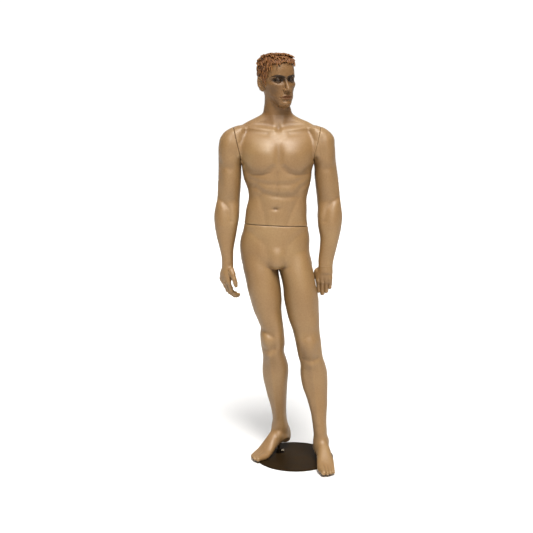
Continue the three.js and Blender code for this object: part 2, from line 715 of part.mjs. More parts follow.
// ---- arms, hands and their fittings ----
const sides = [
  {
    name: 'right',
    rows: ARM_RIGHT,
    shoulder: SHOULDER_RIGHT,
    wrist: WRIST_RIGHT,
    thumbAxis: [0.75, -0.66, 0],
    palmAxis: [0.66, 0.75, 0],
    bend: [22, 34, 22],
    thumb: [[42, 16, 62, 11], [45, 22, 88, 9.5], [44, 26, 102, 7], [43, 27, 107, 3.5]],
  },
  {
    name: 'left',
    rows: ARM_LEFT,
    shoulder: SHOULDER_LEFT,
    wrist: WRIST_LEFT,
    thumbAxis: [-0.97, 0.2, 0],
    palmAxis: [0.2, 0.97, 0],
    bend: [40, 62, 30],
    thumb: [[29, 17, 60, 11.5], [24, 25, 84, 9.5], [20, 31, 98, 7], [18, 34, 104, 3.5]],
  },
];
for (const side of sides) {
  const { name, rows, shoulder, wrist } = side;
  const frame = shoulderFrame(shoulder);
  const pegFrame = frameAt(shoulder.at, shoulder.pull);
  const insideSeam = block(300, 300, -100, -GAP, frame);
  const behindPlate = block(300, 300, -100, 3, frame);
  const tube = block(25, 25, -52, 12, pegFrame).intersect(insideSeam);
  const pegHole = block(PEG + 2 * GAP, PEG + 2 * GAP, -60, 20, pegFrame);
  let socket = join(rod(32, -4.3, -GAP, frame, 20), tube).subtract(pegHole);
  const peg = block(PEG, PEG, -40, 20, pegFrame).intersect(behindPlate);
  let armPlate = join(rod(32, 2 * GAP, 4.6, frame, 20), peg);
  [-24, 24].forEach((x, i) => {
    const socketScrew = frame.clone().multiply(shift(0, x, -0.5));
    const armScrew = frame.clone().multiply(shift(0, x, 0.8)).multiply(upsideDown);
    socket = socket.subtract(screwHole(socketScrew, 10, 1.8, 3.4));
    armPlate = armPlate.subtract(screwHole(armScrew, 9.5, 1.8, 3.4));
    addMesh(`${name}_shoulder_screw_${i + 1}`, screw(socketScrew, 10, 1.8, 3.4), STEEL());
    addMesh(`${name}_arm_screw_${i + 1}`, screw(armScrew, 9.5, 1.8, 3.4), STEEL());
  });
  addMesh(`${name}_shoulder_socket`, socket, STEEL());
  addMesh(`${name}_arm_shell`, armShell(rows, shoulder, wrist), SKIN(), SKIN_TOLERANCE);
  addMesh(`${name}_arm_plate`, armPlate, STEEL());

  const wristFrame = shift(wrist[0], wrist[1], WRIST_Z);
  const bush = rod(7, 0.1, 39.5, wristFrame).subtract(rod(WRIST_PIN_RADIUS + GAP, -5, 37, wristFrame));
  addMesh(`${name}_wrist_bush`, bush, STEEL());
  const pin = join(
    rod(WRIST_PIN_RADIUS, -1, 34, wristFrame),
    rod(11, -3.6, -0.4, wristFrame),
    block(WRIST_KEY, WRIST_KEY, -22, -3, wristFrame),
  );
  addMesh(`${name}_wrist_pin`, pin, CHROME());
  const insert = rod(7, -29, -6.4, wristFrame)
    .subtract(block(WRIST_KEY + 2 * GAP, WRIST_KEY + 2 * GAP, -25, 0, wristFrame));
  addMesh(`${name}_hand_insert`, insert, STEEL());
  addMesh(`${name}_hand`, hand(side), SKIN(), 0.15);
}

export default group;
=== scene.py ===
"""Full-body male display mannequin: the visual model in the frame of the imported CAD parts.

The skin is one smooth implicit surface, built from section tables and sculpted height maps in millimetres.
It is meshed piece by piece, and each piece is cut at the seams of its CAD node.
+Z is up and the figure faces -Y.
"""

import math

import bpy
import numpy as np
from mathutils import Matrix, Vector


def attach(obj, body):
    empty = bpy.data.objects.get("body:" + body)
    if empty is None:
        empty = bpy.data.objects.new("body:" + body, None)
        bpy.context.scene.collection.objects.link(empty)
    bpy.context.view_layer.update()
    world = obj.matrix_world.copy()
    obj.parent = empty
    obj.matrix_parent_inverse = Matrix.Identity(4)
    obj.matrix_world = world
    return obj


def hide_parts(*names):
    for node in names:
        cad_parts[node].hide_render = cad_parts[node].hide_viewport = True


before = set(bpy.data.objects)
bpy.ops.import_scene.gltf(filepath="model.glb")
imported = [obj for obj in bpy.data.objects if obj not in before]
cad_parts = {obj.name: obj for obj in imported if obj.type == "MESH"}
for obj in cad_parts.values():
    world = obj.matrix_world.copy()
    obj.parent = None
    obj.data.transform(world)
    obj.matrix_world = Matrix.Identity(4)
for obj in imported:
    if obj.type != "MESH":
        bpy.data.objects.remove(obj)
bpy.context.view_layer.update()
COARSE = 1.0

WAIST_AT = (-90.0, 2.0, 1088.5)
WAIST_AXIS = (0.041, 0.0, 1.0)
NECK_Z = 1570.0
ARMPIT_Z = 1376.0
WRIST_Z = 905.0
WRISTS = {"right": (-310.0, -14.0), "left": (135.0, -16.0)}
SHOULDERS = {
    "right": dict(at=(-260.0, 12.0, 1450.0), out=(-0.973, 0.0, -0.231), pull=(-0.985, 0.0, 0.174), edge=1.8),
    "left": dict(at=(92.0, 12.0, 1450.0), out=(0.973, 0.0, -0.231), pull=(0.985, 0.0, 0.174), edge=0.5),
}
SPIGOT_AT = (-73.0, 37.0)
SOLE_Z = 8.3
HAIR_TOP_Z = 1837.5
LOCKS = 900
# the eye on the +x side, in the head's own frame
EYE_AT = (31.0, -74.5, 112.0)
# radii cut out of the skins to clear the fittings of the CAD model
WAIST_BORE = 20.9
ROD_BORE = 9.1
SHOULDER_RECESS = 32.4
SOCKET_BORE = 18.9
PEG_BORE = 16.2
WRIST_BORE = 7.3
WRIST_RECESS = 11.4
SCREW_BORE = 2.6


# ---------------------------------------------------------------- fields
def smoothstep(t):
    t = np.clip(t, 0.0, 1.0)
    return t * t * (3.0 - 2.0 * t)


def smin(a, b, k):
    h = np.maximum(k - np.abs(a - b), 0.0) / k
    return np.minimum(a, b) - h * h * k * 0.25


def smax(a, b, k):
    return -smin(-a, -b, k)


def curve(z, knots, values):
    """Smooth curve through the values, held constant past the end knots."""
    slope = np.gradient(values, knots)
    z = np.clip(z, knots[0], knots[-1])
    i = np.clip(np.searchsorted(knots, z) - 1, 0, len(knots) - 2)
    h = knots[i + 1] - knots[i]
    t = (z - knots[i]) / h
    a = values[i] * (1.0 + 2.0 * t) * (1.0 - t) ** 2
    b = slope[i] * h * t * (1.0 - t) ** 2
    c = values[i + 1] * t * t * (3.0 - 2.0 * t)
    d = slope[i + 1] * h * t * t * (t - 1.0)
    return a + b + c + d


def loft(x, y, z, rows, n=2.3, n_low=None, end=12.0):
    """Distance-like field of stacked sections [z, x0, x1, y0, y1, widest y]. n_low squares the y0 side."""
    rows = np.array(rows, float)
    if rows[0, 0] > rows[-1, 0]:
        rows = rows[::-1]
    k = rows[:, 0]
    x0, x1, y0, y1 = (curve(z, k, rows[:, c]) for c in (1, 2, 3, 4))
    wide = curve(z, k, rows[:, 5]) if rows.shape[1] > 5 else (y0 + y1) / 2
    a = (x1 - x0) / 2
    dx = np.abs(x - (x0 + x1) / 2) / a
    low = y < wide
    b = np.where(low, wide - y0, y1 - wide)
    dy = np.abs(y - wide) / b
    if n_low is not None and n_low != n:
        n = np.where(low, n_low, n)
    dx = np.maximum(dx, 1e-4)
    dy = np.maximum(dy, 1e-4)
    px = dx ** (n - 1.0)
    py = dy ** (n - 1.0)
    r = (px * dx + py * dy) ** (1.0 / n)
    g = r ** (1.0 - n) * np.sqrt((px / a) ** 2 + (py / b) ** 2)
    f = (r - 1.0) / np.maximum(g, 1e-3)
    ends = np.maximum(z - k[-1], k[0] - z)
    return smax(f, ends, end)


def ellipsoid(x, y, z, centre, radii):
    dx, dy, dz = x - centre[0], y - centre[1], z - centre[2]
    k0 = np.sqrt((dx / radii[0]) ** 2 + (dy / radii[1]) ** 2 + (dz / radii[2]) ** 2) + 1e-6
    k1 = np.sqrt((dx / radii[0] ** 2) ** 2 + (dy / radii[1] ** 2) ** 2 + (dz / radii[2] ** 2) ** 2) + 1e-9
    return k0 * (k0 - 1.0) / k1


def tube(x, y, z, path):
    """Round-ended tube through [x, y, z, radius] points."""
    best = None
    for p, q in zip(path[:-1], path[1:]):
        d = [q[i] - p[i] for i in range(3)]
        length = sum(v * v for v in d) + 1e-9
        t = np.clip(((x - p[0]) * d[0] + (y - p[1]) * d[1] + (z - p[2]) * d[2]) / length, 0.0, 1.0)
        radius = p[3] + (q[3] - p[3]) * t
        gx, gy, gz = x - p[0] - t * d[0], y - p[1] - t * d[1], z - p[2] - t * d[2]
        f = np.sqrt(gx ** 2 + gy ** 2 + gz ** 2) - radius
        best = f if best is None else smin(best, f, 2.0)
    return best


# Height maps: soft shapes drawn on a plane (u across, v up) and pressed into the skin along one side.
def lump(h, u, v, cu, cv, wu, wv, amount):
    h += amount * np.exp(-0.5 * (((u - cu) / wu) ** 2 + ((v - cv) / wv) ** 2))


def stroke(h, u, v, points, width, amount):
    best = np.full(h.shape, 1e9)
    for (au, av), (bu, bv) in zip(points[:-1], points[1:]):
        du, dv = bu - au, bv - av
        t = np.clip(((u - au) * du + (v - av) * dv) / (du * du + dv * dv), 0.0, 1.0)
        best = np.minimum(best, (u - au - t * du) ** 2 + (v - av - t * dv) ** 2)
    h += amount * np.exp(-0.5 * best / width ** 2)


def pad(h, u, v, cu, cv, wu, wv, amount, power=2.4, edge=3.0):
    """A raised pad with a fairly firm rim."""
    r = (np.abs((u - cu) / wu) ** power + np.abs((v - cv) / wv) ** power) ** (1.0 / power)
    h += amount * np.clip(1.0 - r ** edge, 0.0, 1.0) ** 0.8


# ---------------------------------------------------------------- section tables of the figure, in mm
TRUNK = [
    [896, -206, 42, -68, 106, 22], [908, -233, 70, -86, 121, 25], [925, -243, 70, -95, 127, 25],
    [950, -248, 65, -100, 128, 22], [990, -251, 63, -99, 122, 18], [1028, -247, 63, -96, 112, 14],
    [1064, -236, 57, -94, 101, 8], [1118, -227, 49, -92, 91, 2], [1160, -221, 48, -93, 87, 0],
    [1207, -210, 48, -96, 86, 0], [1245, -214, 57, -101, 91, 0], [1290, -230, 67, -106, 102, 4],
    [1335, -239, 71, -108, 112, 8], [1376, -243, 75, -106, 119, 12], [1420, -252, 84, -101, 120, 16],
    [1455, -258, 90, -92, 117, 18], [1485, -258, 90, -74, 110, 20], [1508, -248, 80, -56, 100, 24],
    [1525, -240, 76, -44, 91, 26], [1542, -221, 58, -37, 83, 26], [1560, -185, 16, -32, 77, 26],
    [1580, -149, -17, -30, 71, 24], [1605, -136, -30, -33, 64, 22],
]
NECK = [
    [1535, -156, -10, -34, 82, 30], [1560, -144, -20, -34, 75, 26], [1590, -139, -26, -35, 67, 20],
    [1615, -140, -29, -39, 62, 14], [1640, -139, -31, -46, 60, 8], [1675, -138, -33, -52, 59, 4],
    [1710, -136, -36, -52, 56, 2],
]
LEG_RIGHT = [
    [72, -94, -30, 40, 108, 70], [100, -101, -29, 38, 118, 76], [125, -106, -29, 28, 114, 74],
    [165, -102, -35, 20, 104, 66], [208, -107, -38, 8, 97, 56], [246, -115, -38, -4, 94, 48],
    [284, -126, -37, -16, 93, 42], [323, -135, -35, -28, 94, 36], [361, -144, -33, -38, 95, 32],
    [398, -149, -30, -46, 91, 26], [436, -149, -31, -54, 81, 18], [474, -147, -41, -66, 67, 6],
    [512, -151, -51, -77, 54, -8], [549, -157, -48, -84, 46, -18], [590, -160, -50, -86, 49, -18],
    [624, -158, -54, -89, 57, -16], [655, -170, -58, -93, 65, -14], [700, -189, -63, -100, 78, -12],
    [754, -205, -62, -106, 91, -10], [800, -217, -66, -106, 103, -6], [850, -227, -73, -102, 116, 0],
    [900, -238, -81, -96, 126, 6], [960, -232, -104, -78, 108, 10], [1000, -210, -120, -50, 90, 10],
]
LEG_LEFT = [
    [60, 86, 138, -82, -2, -40], [100, 88, 147, -86, 4, -40], [146, 84, 146, -86, 3, -40],
    [186, 79, 144, -81, 2, -38], [224, 73, 145, -77, 5, -34], [262, 63, 148, -73, 13, -28],
    [300, 51, 148, -70, 25, -22], [338, 37, 149, -70, 37, -18], [376, 28, 149, -72, 48, -14],
    [412, 24, 147, -74, 53, -12], [450, 24, 138, -78, 49, -16], [487, 15, 126, -86, 41, -24],
    [524, 7, 120, -95, 32, -34], [560, 0, 116, -99, 30, -38], [614, -13, 109, -101, 45, -32],
    [664, -31, 108, -105, 58, -26], [706, -42, 106, -109, 71, -20], [758, -52, 104, -112, 85, -14],
    [800, -55, 96, -111, 98, -8], [850, -65, 86, -106, 112, -2], [900, -78, 76, -98, 124, 4],
    [960, -72, 58, -80, 108, 10], [1000, -50, 34, -50, 90, 10],
]
ARM_RIGHT = [
    [870, -328, -284, -35, 7], [905, -330, -281, -36, 9], [935, -332, -281, -37, 12],
    [980, -341, -279, -42, 25], [1030, -354, -270, -46, 40], [1080, -363, -261, -48, 52],
    [1125, -366, -254, -46, 60], [1165, -361, -252, -41, 65], [1200, -353, -251, -38, 66],
    [1260, -349, -246, -42, 70], [1310, -346, -244, -47, 73], [1350, -345, -243, -52, 77],
    [1400, -345, -226, -58, 83], [1440, -343, -214, -60, 85], [1480, -332, -207, -54, 81],
    [1504, -311, -208, -44, 74], [1519, -284, -214, -28, 60], [1529, -258, -226, -6, 40],
]
ARM_LEFT = [
    [870, 110, 165, -37, 5], [905, 103, 167, -38, 7], [935, 103, 172, -39, 12],
    [980, 108, 183, -44, 24], [1030, 110, 195, -48, 36], [1080, 101, 205, -50, 48],
    [1125, 98, 209, -48, 56], [1165, 99, 205, -42, 61], [1200, 96, 200, -38, 64],
    [1260, 89, 194, -42, 70], [1310, 84, 187, -46, 72], [1350, 82, 181, -52, 77],
    [1400, 60, 175, -58, 83], [1440, 46, 171, -60, 85], [1480, 39, 165, -54, 81],
    [1504, 40, 144, -44, 74], [1519, 46, 120, -28, 60], [1529, 58, 92, -6, 40],
]


def front_map(x, z):
    """Chest, belly, groin, knees and shins, as seen from the front."""
    h = np.zeros(np.broadcast(x, z).shape)
    chest = np.zeros_like(h)
    for cx in (-168, 12):
        pec = np.zeros_like(h)
        pad(pec, x, z, cx, 1398, 92, 84, 17.0, 2.6, 2.2)
        chest = np.maximum(chest, pec)
    h += chest * (1.0 - 0.95 * smoothstep((z - 1392) / 118)) * (
        1.0 - 0.8 * np.exp(-0.5 * ((x + 78) / 10.0) ** 2) * smoothstep((1482 - z) / 90))
    fold = [(-232, 1356), (-210, 1330), (-182, 1316), (-152, 1315), (-124, 1326), (-104, 1344)]
    stroke(h, x, z, fold, 7.5, -4.4)
    stroke(h, x, z, [(-54, 1344), (-30, 1323), (8, 1314), (38, 1321), (60, 1344)], 7.5, -4.4)
    lump(h, x, z, -216, 1330, 13, 13, -2.5)
    lump(h, x, z, 48, 1330, 13, 13, -2.5)
    lump(h, x, z, -78, 1511, 12, 9, -7.0)
    m = -79
    for s in (-1, 1):
        stroke(h, x, z, [(m + s * 20, 1505), (m + s * 55, 1507), (m + s * 98, 1514), (m + s * 135, 1519),
                         (m + s * 160, 1516)], 7.5, 4.6)
        stroke(h, x, z, [(m + s * 50, 1489), (m + s * 96, 1492), (m + s * 138, 1494)], 9.0, -3.6)
        lump(h, x, z, m + s * 70, 1533, 28, 9, -4.5)
        lump(h, x, z, m + s * 17, 1503, 8, 7, 3.0)
        lump(h, x, z, m + s * 152, 1478, 15, 30, -1.6)
    # the rib arch, the blocks of the belly and the flank lines
    arch = [(-178, 1262), (-146, 1234), (-99, 1221), (-55, 1216), (-12, 1219), (10, 1240)]
    stroke(h, x, z, arch, 8.5, -4.4)
    lump(h, x, z, -128, 1250, 30, 15, 4.2)
    lump(h, x, z, -42, 1247, 30, 15, 4.4)
    stroke(h, x, z, [(-166, 1280), (-128, 1271), (-88, 1269), (-40, 1270), (-2, 1278)], 7.5, -2.2)
    lump(h, x, z, -122, 1292, 28, 12, 2.6)
    lump(h, x, z, -44, 1292, 28, 12, 2.6)
    stroke(h, x, z, [(-83, 1322), (-85, 1228)], 7.0, -2.4)
    stroke(h, x, z, [(-88, 1215), (-91, 1100)], 9.0, -1.6)
    stroke(h, x, z, [(-160, 1218), (-150, 1178), (-139, 1139), (-134, 1096)], 9.0, -3.4)
    stroke(h, x, z, [(7, 1212), (-10, 1178), (-27, 1139), (-40, 1096)], 9.0, -3.6)
    lump(h, x, z, -194, 1158, 24, 48, 5.0)
    lump(h, x, z, 22, 1158, 24, 48, 5.0)
    lump(h, x, z, -91, 1194, 44, 18, 2.6)
    lump(h, x, z, -91, 1140, 40, 26, 2.0)
    lump(h, x, z, -91, 1163, 14, 6.0, -5.0)
    lump(h, x, z, -91, 1164, 6.0, 4.0, -3.0)
    for start, end, amount in (
        ((36, 1300), (8, 1288), -2.6), ((46, 1274), (18, 1256), -2.6), ((52, 1244), (26, 1228), -2.0),
        ((-204, 1296), (-178, 1286), -2.2), ((-214, 1268), (-188, 1253), -2.2),
    ):
        stroke(h, x, z, [start, end], 7.0, amount)
    # lower belly, groin and thighs
    lump(h, x, z, -88, 1052, 55, 30, 3.0)
    right_groin = [(-202, 1062), (-178, 1042), (-152, 1022), (-134, 1002), (-126, 968), (-112, 925)]
    left_groin = [(32, 1062), (6, 1042), (-20, 1022), (-38, 1002), (-46, 968), (-60, 925)]
    stroke(h, x, z, right_groin, 12.0, -3.0)
    stroke(h, x, z, left_groin, 12.0, -3.0)
    lump(h, x, z, -212, 1078, 15, 15, 3.0)
    lump(h, x, z, 40, 1075, 15, 15, 3.0)
    lump(h, x, z, -165, 800, 30, 90, 3.0)
    lump(h, x, z, 30, 800, 32, 90, 3.5)
    stroke(h, x, z, [(-205, 760), (-176, 660)], 10.0, -1.6)
    stroke(h, x, z, [(88, 760), (84, 660)], 10.0, -1.6)
    lump(h, x, z, -84, 655, 17, 28, 4.5)
    lump(h, x, z, -150, 662, 14, 26, 3.5)
    lump(h, x, z, 4, 648, 17, 28, 5.0)
    lump(h, x, z, 82, 655, 13, 28, 3.5)
    # knees: the right one is turned outwards
    lump(h, x, z, -134, 572, 18, 22, 8.0)
    lump(h, x, z, -110, 612, 22, 16, -4.5)
    stroke(h, x, z, [(-162, 620), (-134, 610), (-102, 592)], 8.0, -3.6)
    stroke(h, x, z, [(-152, 534), (-124, 526), (-98, 536)], 9.0, -3.6)
    lump(h, x, z, -76, 590, 13, 26, 5.0)
    lump(h, x, z, -92, 548, 9, 20, -5.0)
    lump(h, x, z, -158, 540, 9, 18, -4.0)
    lump(h, x, z, -118, 500, 13, 14, 4.0)
    lump(h, x, z, 62, 546, 21, 30, 9.0)
    lump(h, x, z, 62, 612, 24, 14, -3.5)
    stroke(h, x, z, [(36, 588), (62, 596), (88, 586)], 9.0, -2.2)
    lump(h, x, z, 22, 578, 11, 24, 3.5)
    lump(h, x, z, 98, 536, 9, 22, -4.0)
    lump(h, x, z, 32, 500, 10, 20, -4.5)
    lump(h, x, z, 68, 460, 14, 14, 4.2)
    stroke(h, x, z, [(40, 486), (68, 478), (94, 490)], 9.0, -4.5)
    stroke(h, x, z, [(-116, 500), (-98, 340), (-82, 190)], 7.0, 3.2)
    stroke(h, x, z, [(-138, 470), (-122, 330)], 10.0, -1.8)
    stroke(h, x, z, [(70, 470), (92, 330), (104, 190)], 7.0, 3.2)
    stroke(h, x, z, [(48, 440), (72, 320)], 10.0, -1.8)
    return h


def back_map(x, z):
    """Spine, shoulder blades, buttocks, calves and heels, as seen through the body from the front."""
    h = np.zeros(np.broadcast(x, z).shape)
    stroke(h, x, z, [(-83, 1540), (-84, 1400), (-86, 1250), (-89, 1070)], 11.0, -7.5)
    m = -85
    for s in (-1, 1):
        stroke(h, x, z, [(m + s * 30, 1240), (m + s * 32, 1080)], 14.0, 4.5)
        lump(h, x, z, m + s * 74, 1405, 34, 46, 6.0)
        stroke(h, x, z, [(m + s * 42, 1450), (m + s * 54, 1362)], 15.0, -2.8)
        stroke(h, x, z, [(m + s * 56, 1350), (m + s * 92, 1342)], 15.0, -2.2)
        lump(h, x, z, m + s * 40, 1515, 36, 24, 4.0)
        lump(h, x, z, m + s * 104, 1300, 26, 60, 3.5)
        lump(h, x, z, m + s * 36, 1044, 13, 10, -1.8)
        lump(h, x, z, m + s * 70, 955, 46, 46, 17.0)
        lump(h, x, z, m + s * 128, 960, 18, 34, -4.0)
        stroke(h, x, z, [(m + s * 16, 876), (m + s * 48, 869), (m + s * 78, 878)], 10.0, -5.5)
    stroke(h, x, z, [(-87, 1012), (-87, 890)], 12.0, -9.0)
    stroke(h, x, z, [(-87, 985), (-87, 885)], 7.5, -13.0)
    for cx, cz, s in ((-92, 425, -1), (84, 440, 1)):
        lump(h, x, z, cx - s * 22, cz, 15, 48, 5.5)
        lump(h, x, z, cx + s * 22, cz + 10, 14, 44, 4.5)
        stroke(h, x, z, [(cx, cz + 50), (cx, cz - 62)], 6.0, -2.6)
    for cx, cz in ((-104, 560), (57, 565)):
        lump(h, x, z, cx, cz, 16, 22, -5.0)
        stroke(h, x, z, [(cx - 32, cz + 70), (cx - 26, cz - 6)], 6.0, 4.0)
        stroke(h, x, z, [(cx + 32, cz + 70), (cx + 26, cz - 6)], 6.0, 4.0)
    stroke(h, x, z, [(-92, 210), (-70, 120)], 7.0, 3.0)
    stroke(h, x, z, [(104, 210), (110, 110)], 7.0, 3.0)
    return h


def middle_y(x, z):
    """The depth at which the front of the body turns into its back."""
    right = np.array(LEG_RIGHT, float)
    left = np.array(LEG_LEFT, float)
    right_y = curve(z, right[:, 0], right[:, 5])
    left_y = curve(z, left[:, 0], left[:, 5])
    split = np.interp(z, [60, 436, 754, 960], [20, -5, -57, -85])
    legs = np.where(x < split, right_y, left_y)
    return legs + (12.0 - legs) * smoothstep((z - 900) / 90)


def arm_field(x, y, z, side):
    """One arm without its hand, from the wrist to the round of the shoulder."""
    rows = ARM_RIGHT if side == "right" else ARM_LEFT
    f = loft(x, y, z, rows, 2.15, end=10.0)
    s = -1 if side == "right" else 1
    m = -84 if side == "right" else -78

    def at(v):
        return m + s * v

    u = x + 0.0 * z
    v = z + 0.0 * x
    h = np.zeros(np.broadcast(u, v).shape)
    lump(h, u, v, at(222), 1440, 26, 42, 4.5)
    stroke(h, u, v, [(at(264), 1380), (at(238), 1344), (at(206), 1338)], 11.0, -4.0)
    stroke(h, u, v, [(at(190), 1466), (at(198), 1400)], 10.0, -3.0)
    lump(h, u, v, at(210), 1272, 24, 46, 7.0)
    stroke(h, u, v, [(at(250), 1325), (at(250), 1230)], 10.0, -3.0)
    lump(h, u, v, at(206), 1192, 22, 16, -5.5)
    stroke(h, u, v, [(at(262), 1208), (at(236), 1192), (at(214), 1160), (at(204), 1110)], 9.0, -4.4)
    stroke(h, u, v, [(at(268), 1190), (at(250), 1150), (at(244), 1090)], 15.0, 3.5)
    lump(h, u, v, at(192), 1120, 15, 44, 3.5)
    mid = np.interp(z, [880, 930, 1080, 1250], [-14.0, -13.0, 3.0, 14.0])
    f = f - h * smoothstep((mid - 2.0 - y) / 28.0)
    g = np.zeros_like(h)
    lump(g, u, v, at(238), 1300, 17, 52, 5.0)
    lump(g, u, v, at(196), 1290, 16, 56, 4.0)
    stroke(g, u, v, [(at(218), 1290), (at(218), 1220)], 8.0, -3.0)
    lump(g, u, v, at(226), 1172, 10, 12, 6.0)
    lump(g, u, v, at(232), 1430, 28, 40, 3.0)
    lump(g, u, v, at(246), 1100, 20, 46, 3.0)
    stroke(g, u, v, [(at(210), 1140), (at(222), 960)], 6.0, 1.5)
    return f - g * smoothstep((y - mid - 2.0) / 28.0)


def neck_cords(x, z):
    """The two cords down the front of the neck, and the throat."""
    u, v = x + 0.0 * z, z + 0.0 * x
    h = np.zeros(u.shape)
    for s in (-1, 1):
        stroke(h, u, v, [(-84 + s * 50, 1665), (-80 + s * 32, 1590), (-79 + s * 14, 1522)], 9.0, 2.6)
    lump(h, u, v, -76, 1612, 9, 13, 2.6)
    return h


def trunk_only(x, y, z):
    """Trunk and neck, without the arms and legs."""
    f = loft(x, y, z, TRUNK, 2.3, end=14.0)
    f = smin(f, loft(x, y, z, NECK, 2.05, end=14.0), 20.0)
    return f - neck_cords(x, z) * smoothstep((10.0 - y) / 30.0)


def legs_field(x, y, z):
    right = loft(x, y, z, LEG_RIGHT, 2.15, end=10.0)
    left = loft(x, y, z, LEG_LEFT, 2.15, end=10.0)
    return smin(right, left, 4.0)


def foot_field(x, y, z, side):
    """One foot, from the heel (s = 0) to the toes."""
    if side == "right":
        heel, degrees, out, rises = (-23.0, 124.0), 229.0, -1.0, [36, 34, 32, 25, 15, 5, 0, 0]
    else:
        heel, degrees, out, rises = (114.0, 10.0), 276.5, 1.0, [15, 14, 13, 11, 6, 1.5, 0, 0]
    a = math.radians(degrees)
    s = (x - heel[0]) * math.cos(a) + (y - heel[1]) * math.sin(a)
    # w grows towards the little toe; the heel is lifted and the ball rests on the plate
    w = (-(x - heel[0]) * math.sin(a) + (y - heel[1]) * math.cos(a)) * out
    rise = curve(s, np.array([0.0, 40, 75, 105, 140, 175, 205, 260]), np.array(rises, float))
    q = z - rise + 0.0 * s
    rows = [
        [4, -14, 14, 26, 52, 38], [14, -23, 24, 12, 80, 38], [36, -29, 31, 6, 96, 34],
        [70, -30, 34, 12, 102, 34], [100, -31, 36, 15, 93, 34], [135, -35, 38, 13, 76, 30],
        [170, -40, 41, 9, 54, 26], [200, -42, 42, 8.3, 38, 20], [222, -39, 40, 9, 30, 18],
        [238, -30, 33, 11, 24, 16],
    ]
    f = loft(w, q, s, rows, 2.1, 3.2, end=9.0)
    arch = np.exp(-0.5 * (((s - 100) / 34.0) ** 2 + ((w + 34) / 16.0) ** 2 + ((q - 8) / 16.0) ** 2))
    f = f + 9.0 * arch
    toes = None
    for w0, w1, s0, s1, r0, r1, up in (
        (-25, -23, 196, 249, 13.0, 11.5, 21), (-5, -6, 200, 250, 10.0, 8.8, 19),
        (10, 8, 198, 243, 9.6, 8.4, 18.5), (23, 20, 193, 234, 9.2, 8.0, 18),
        (34, 30, 186, 222, 9.0, 7.6, 17.5),
    ):
        middle = [(w0 + w1) / 2, up + 2.5, (s0 + s1) / 2, r0 * 0.86]
        toe = tube(w, q, s, [[w0, up + 3, s0, r0], middle, [w1, 9.0 + r1 * 0.92, s1, r1]])
        toes = toe if toes is None else smin(toes, toe, 1.6)
    f = smin(f, toes, 12.0)
    for w0, w1 in ((-15, -14), (2, 0.5), (17, 15), (29, 26)):
        groove = np.exp(-0.5 * ((w - w0 - (w1 - w0) * (s - 200) / 45.0) / 1.7) ** 2)
        groove = groove * smoothstep((s - 192.0) / 22.0) * smoothstep((q - 10.0) / 8.0)
        f = f + 1.7 * groove
    # tendons over the instep and the ankle bones
    top = smoothstep((q - 30.0) / 20.0)
    for w0, w1 in ((-22, -6), (-4, 0), (10, 6), (23, 12)):
        line = np.exp(-0.5 * ((w - w1 - (w0 - w1) * (s - 90) / 100.0) / 3.2) ** 2)
        f = f - 0.7 * line * top * smoothstep((s - 100) / 30.0) * smoothstep((200 - s) / 30.0)
    f = smin(f, ellipsoid(s, w, q, (62, -22, 86), (13, 10, 15)), 14.0)
    f = smin(f, ellipsoid(s, w, q, (54, 25, 78), (12, 9, 14)), 14.0)
    return smax(f, SOLE_Z - z, 3.0)


def body_field(x, y, z, feet=False):
    """Trunk, neck and legs, with or without the feet."""
    f = trunk_only(x, y, z)
    f = smin(f, legs_field(x, y, z), 12.0)
    f = smin(f, ellipsoid(x, y, z, (-86, -81, 948), (42, 29, 50)), 11.0)
    f = smin(f, ellipsoid(x, y, z, (-86, -80, 926), (30, 26, 28)), 14.0)
    if feet:
        for side in ("right", "left"):
            f = smin(f, foot_field(x, y, z, side), 22.0)
        f = smin(f, ellipsoid(x, y, z, (SPIGOT_AT[0], SPIGOT_AT[1], 90), (16, 16, 22)), 14.0)
    xz, zz = x + 0.0 * z, z + 0.0 * x
    mid = middle_y(xz, zz)
    f = f - front_map(xz, zz) * smoothstep((mid - 8.0 - y) / 36.0)
    return f - back_map(xz, zz) * smoothstep((y - mid - 12.0) / 40.0)


def arm_and_hand(x, y, z, side):
    """One arm down to the wrist cut, blended into the trunk above the armpit."""
    f = arm_field(x, y, z, side)
    low = z[0, 0] < WRIST_Z + 60.0
    f[:, :, low] = smin(f[:, :, low], hand_field(x, y, z[:, :, low], side), 9.0)
    bare = trunk_only(x, y, z)
    f = smin(f, smax(bare, ARMPIT_Z - z, 4.0), 16.0)
    xz, zz = x + 0.0 * z, z + 0.0 * x
    near = smoothstep((z - ARMPIT_Z) / 20.0)
    f = f - front_map(xz, zz) * smoothstep((4.0 - y) / 36.0) * near
    f = f - back_map(xz, zz) * smoothstep((y - 24.0) / 40.0) * near
    return np.maximum(f, np.where(z < ARMPIT_Z, 0.7 - bare, -99.0))


HANDS = {
    "right": dict(
        thumb_axis=(0.57, -0.82), palm_axis=(0.82, 0.57), lean=-8.0, bend=(18, 30, 36), knuckle=72.0,
        reach=1.0, lower=(0.0, 3.0, 1.0, -5.0),
        thumb=[[34, 5, 20, 13.0], [52, 7, 36, 12.0], [61, 10, 56, 10.6], [64, 14, 74, 9.6],
               [64, 17, 86, 8.0]],
    ),
    "left": dict(
        thumb_axis=(-0.98, 0.2), palm_axis=(0.2, 0.98), lean=-6.0, bend=(8, 86, 62), knuckle=66.0,
        reach=1.15, lower=(-1.0, 3.0, -2.0, -8.0),
        thumb=[[35, 6, 26, 13.5], [39, 12, 46, 12.5], [33, 28, 68, 10.6], [21, 40, 84, 9.0],
               [12, 42, 94, 7.6]],
    ),
}
# from the first finger to the little one: place across the palm, radius, share of the full length
FINGERS = ((28, 9.4, 1.0), (9.5, 9.7, 1.1), (-9, 9.3, 1.02), (-25.5, 8.2, 0.84))


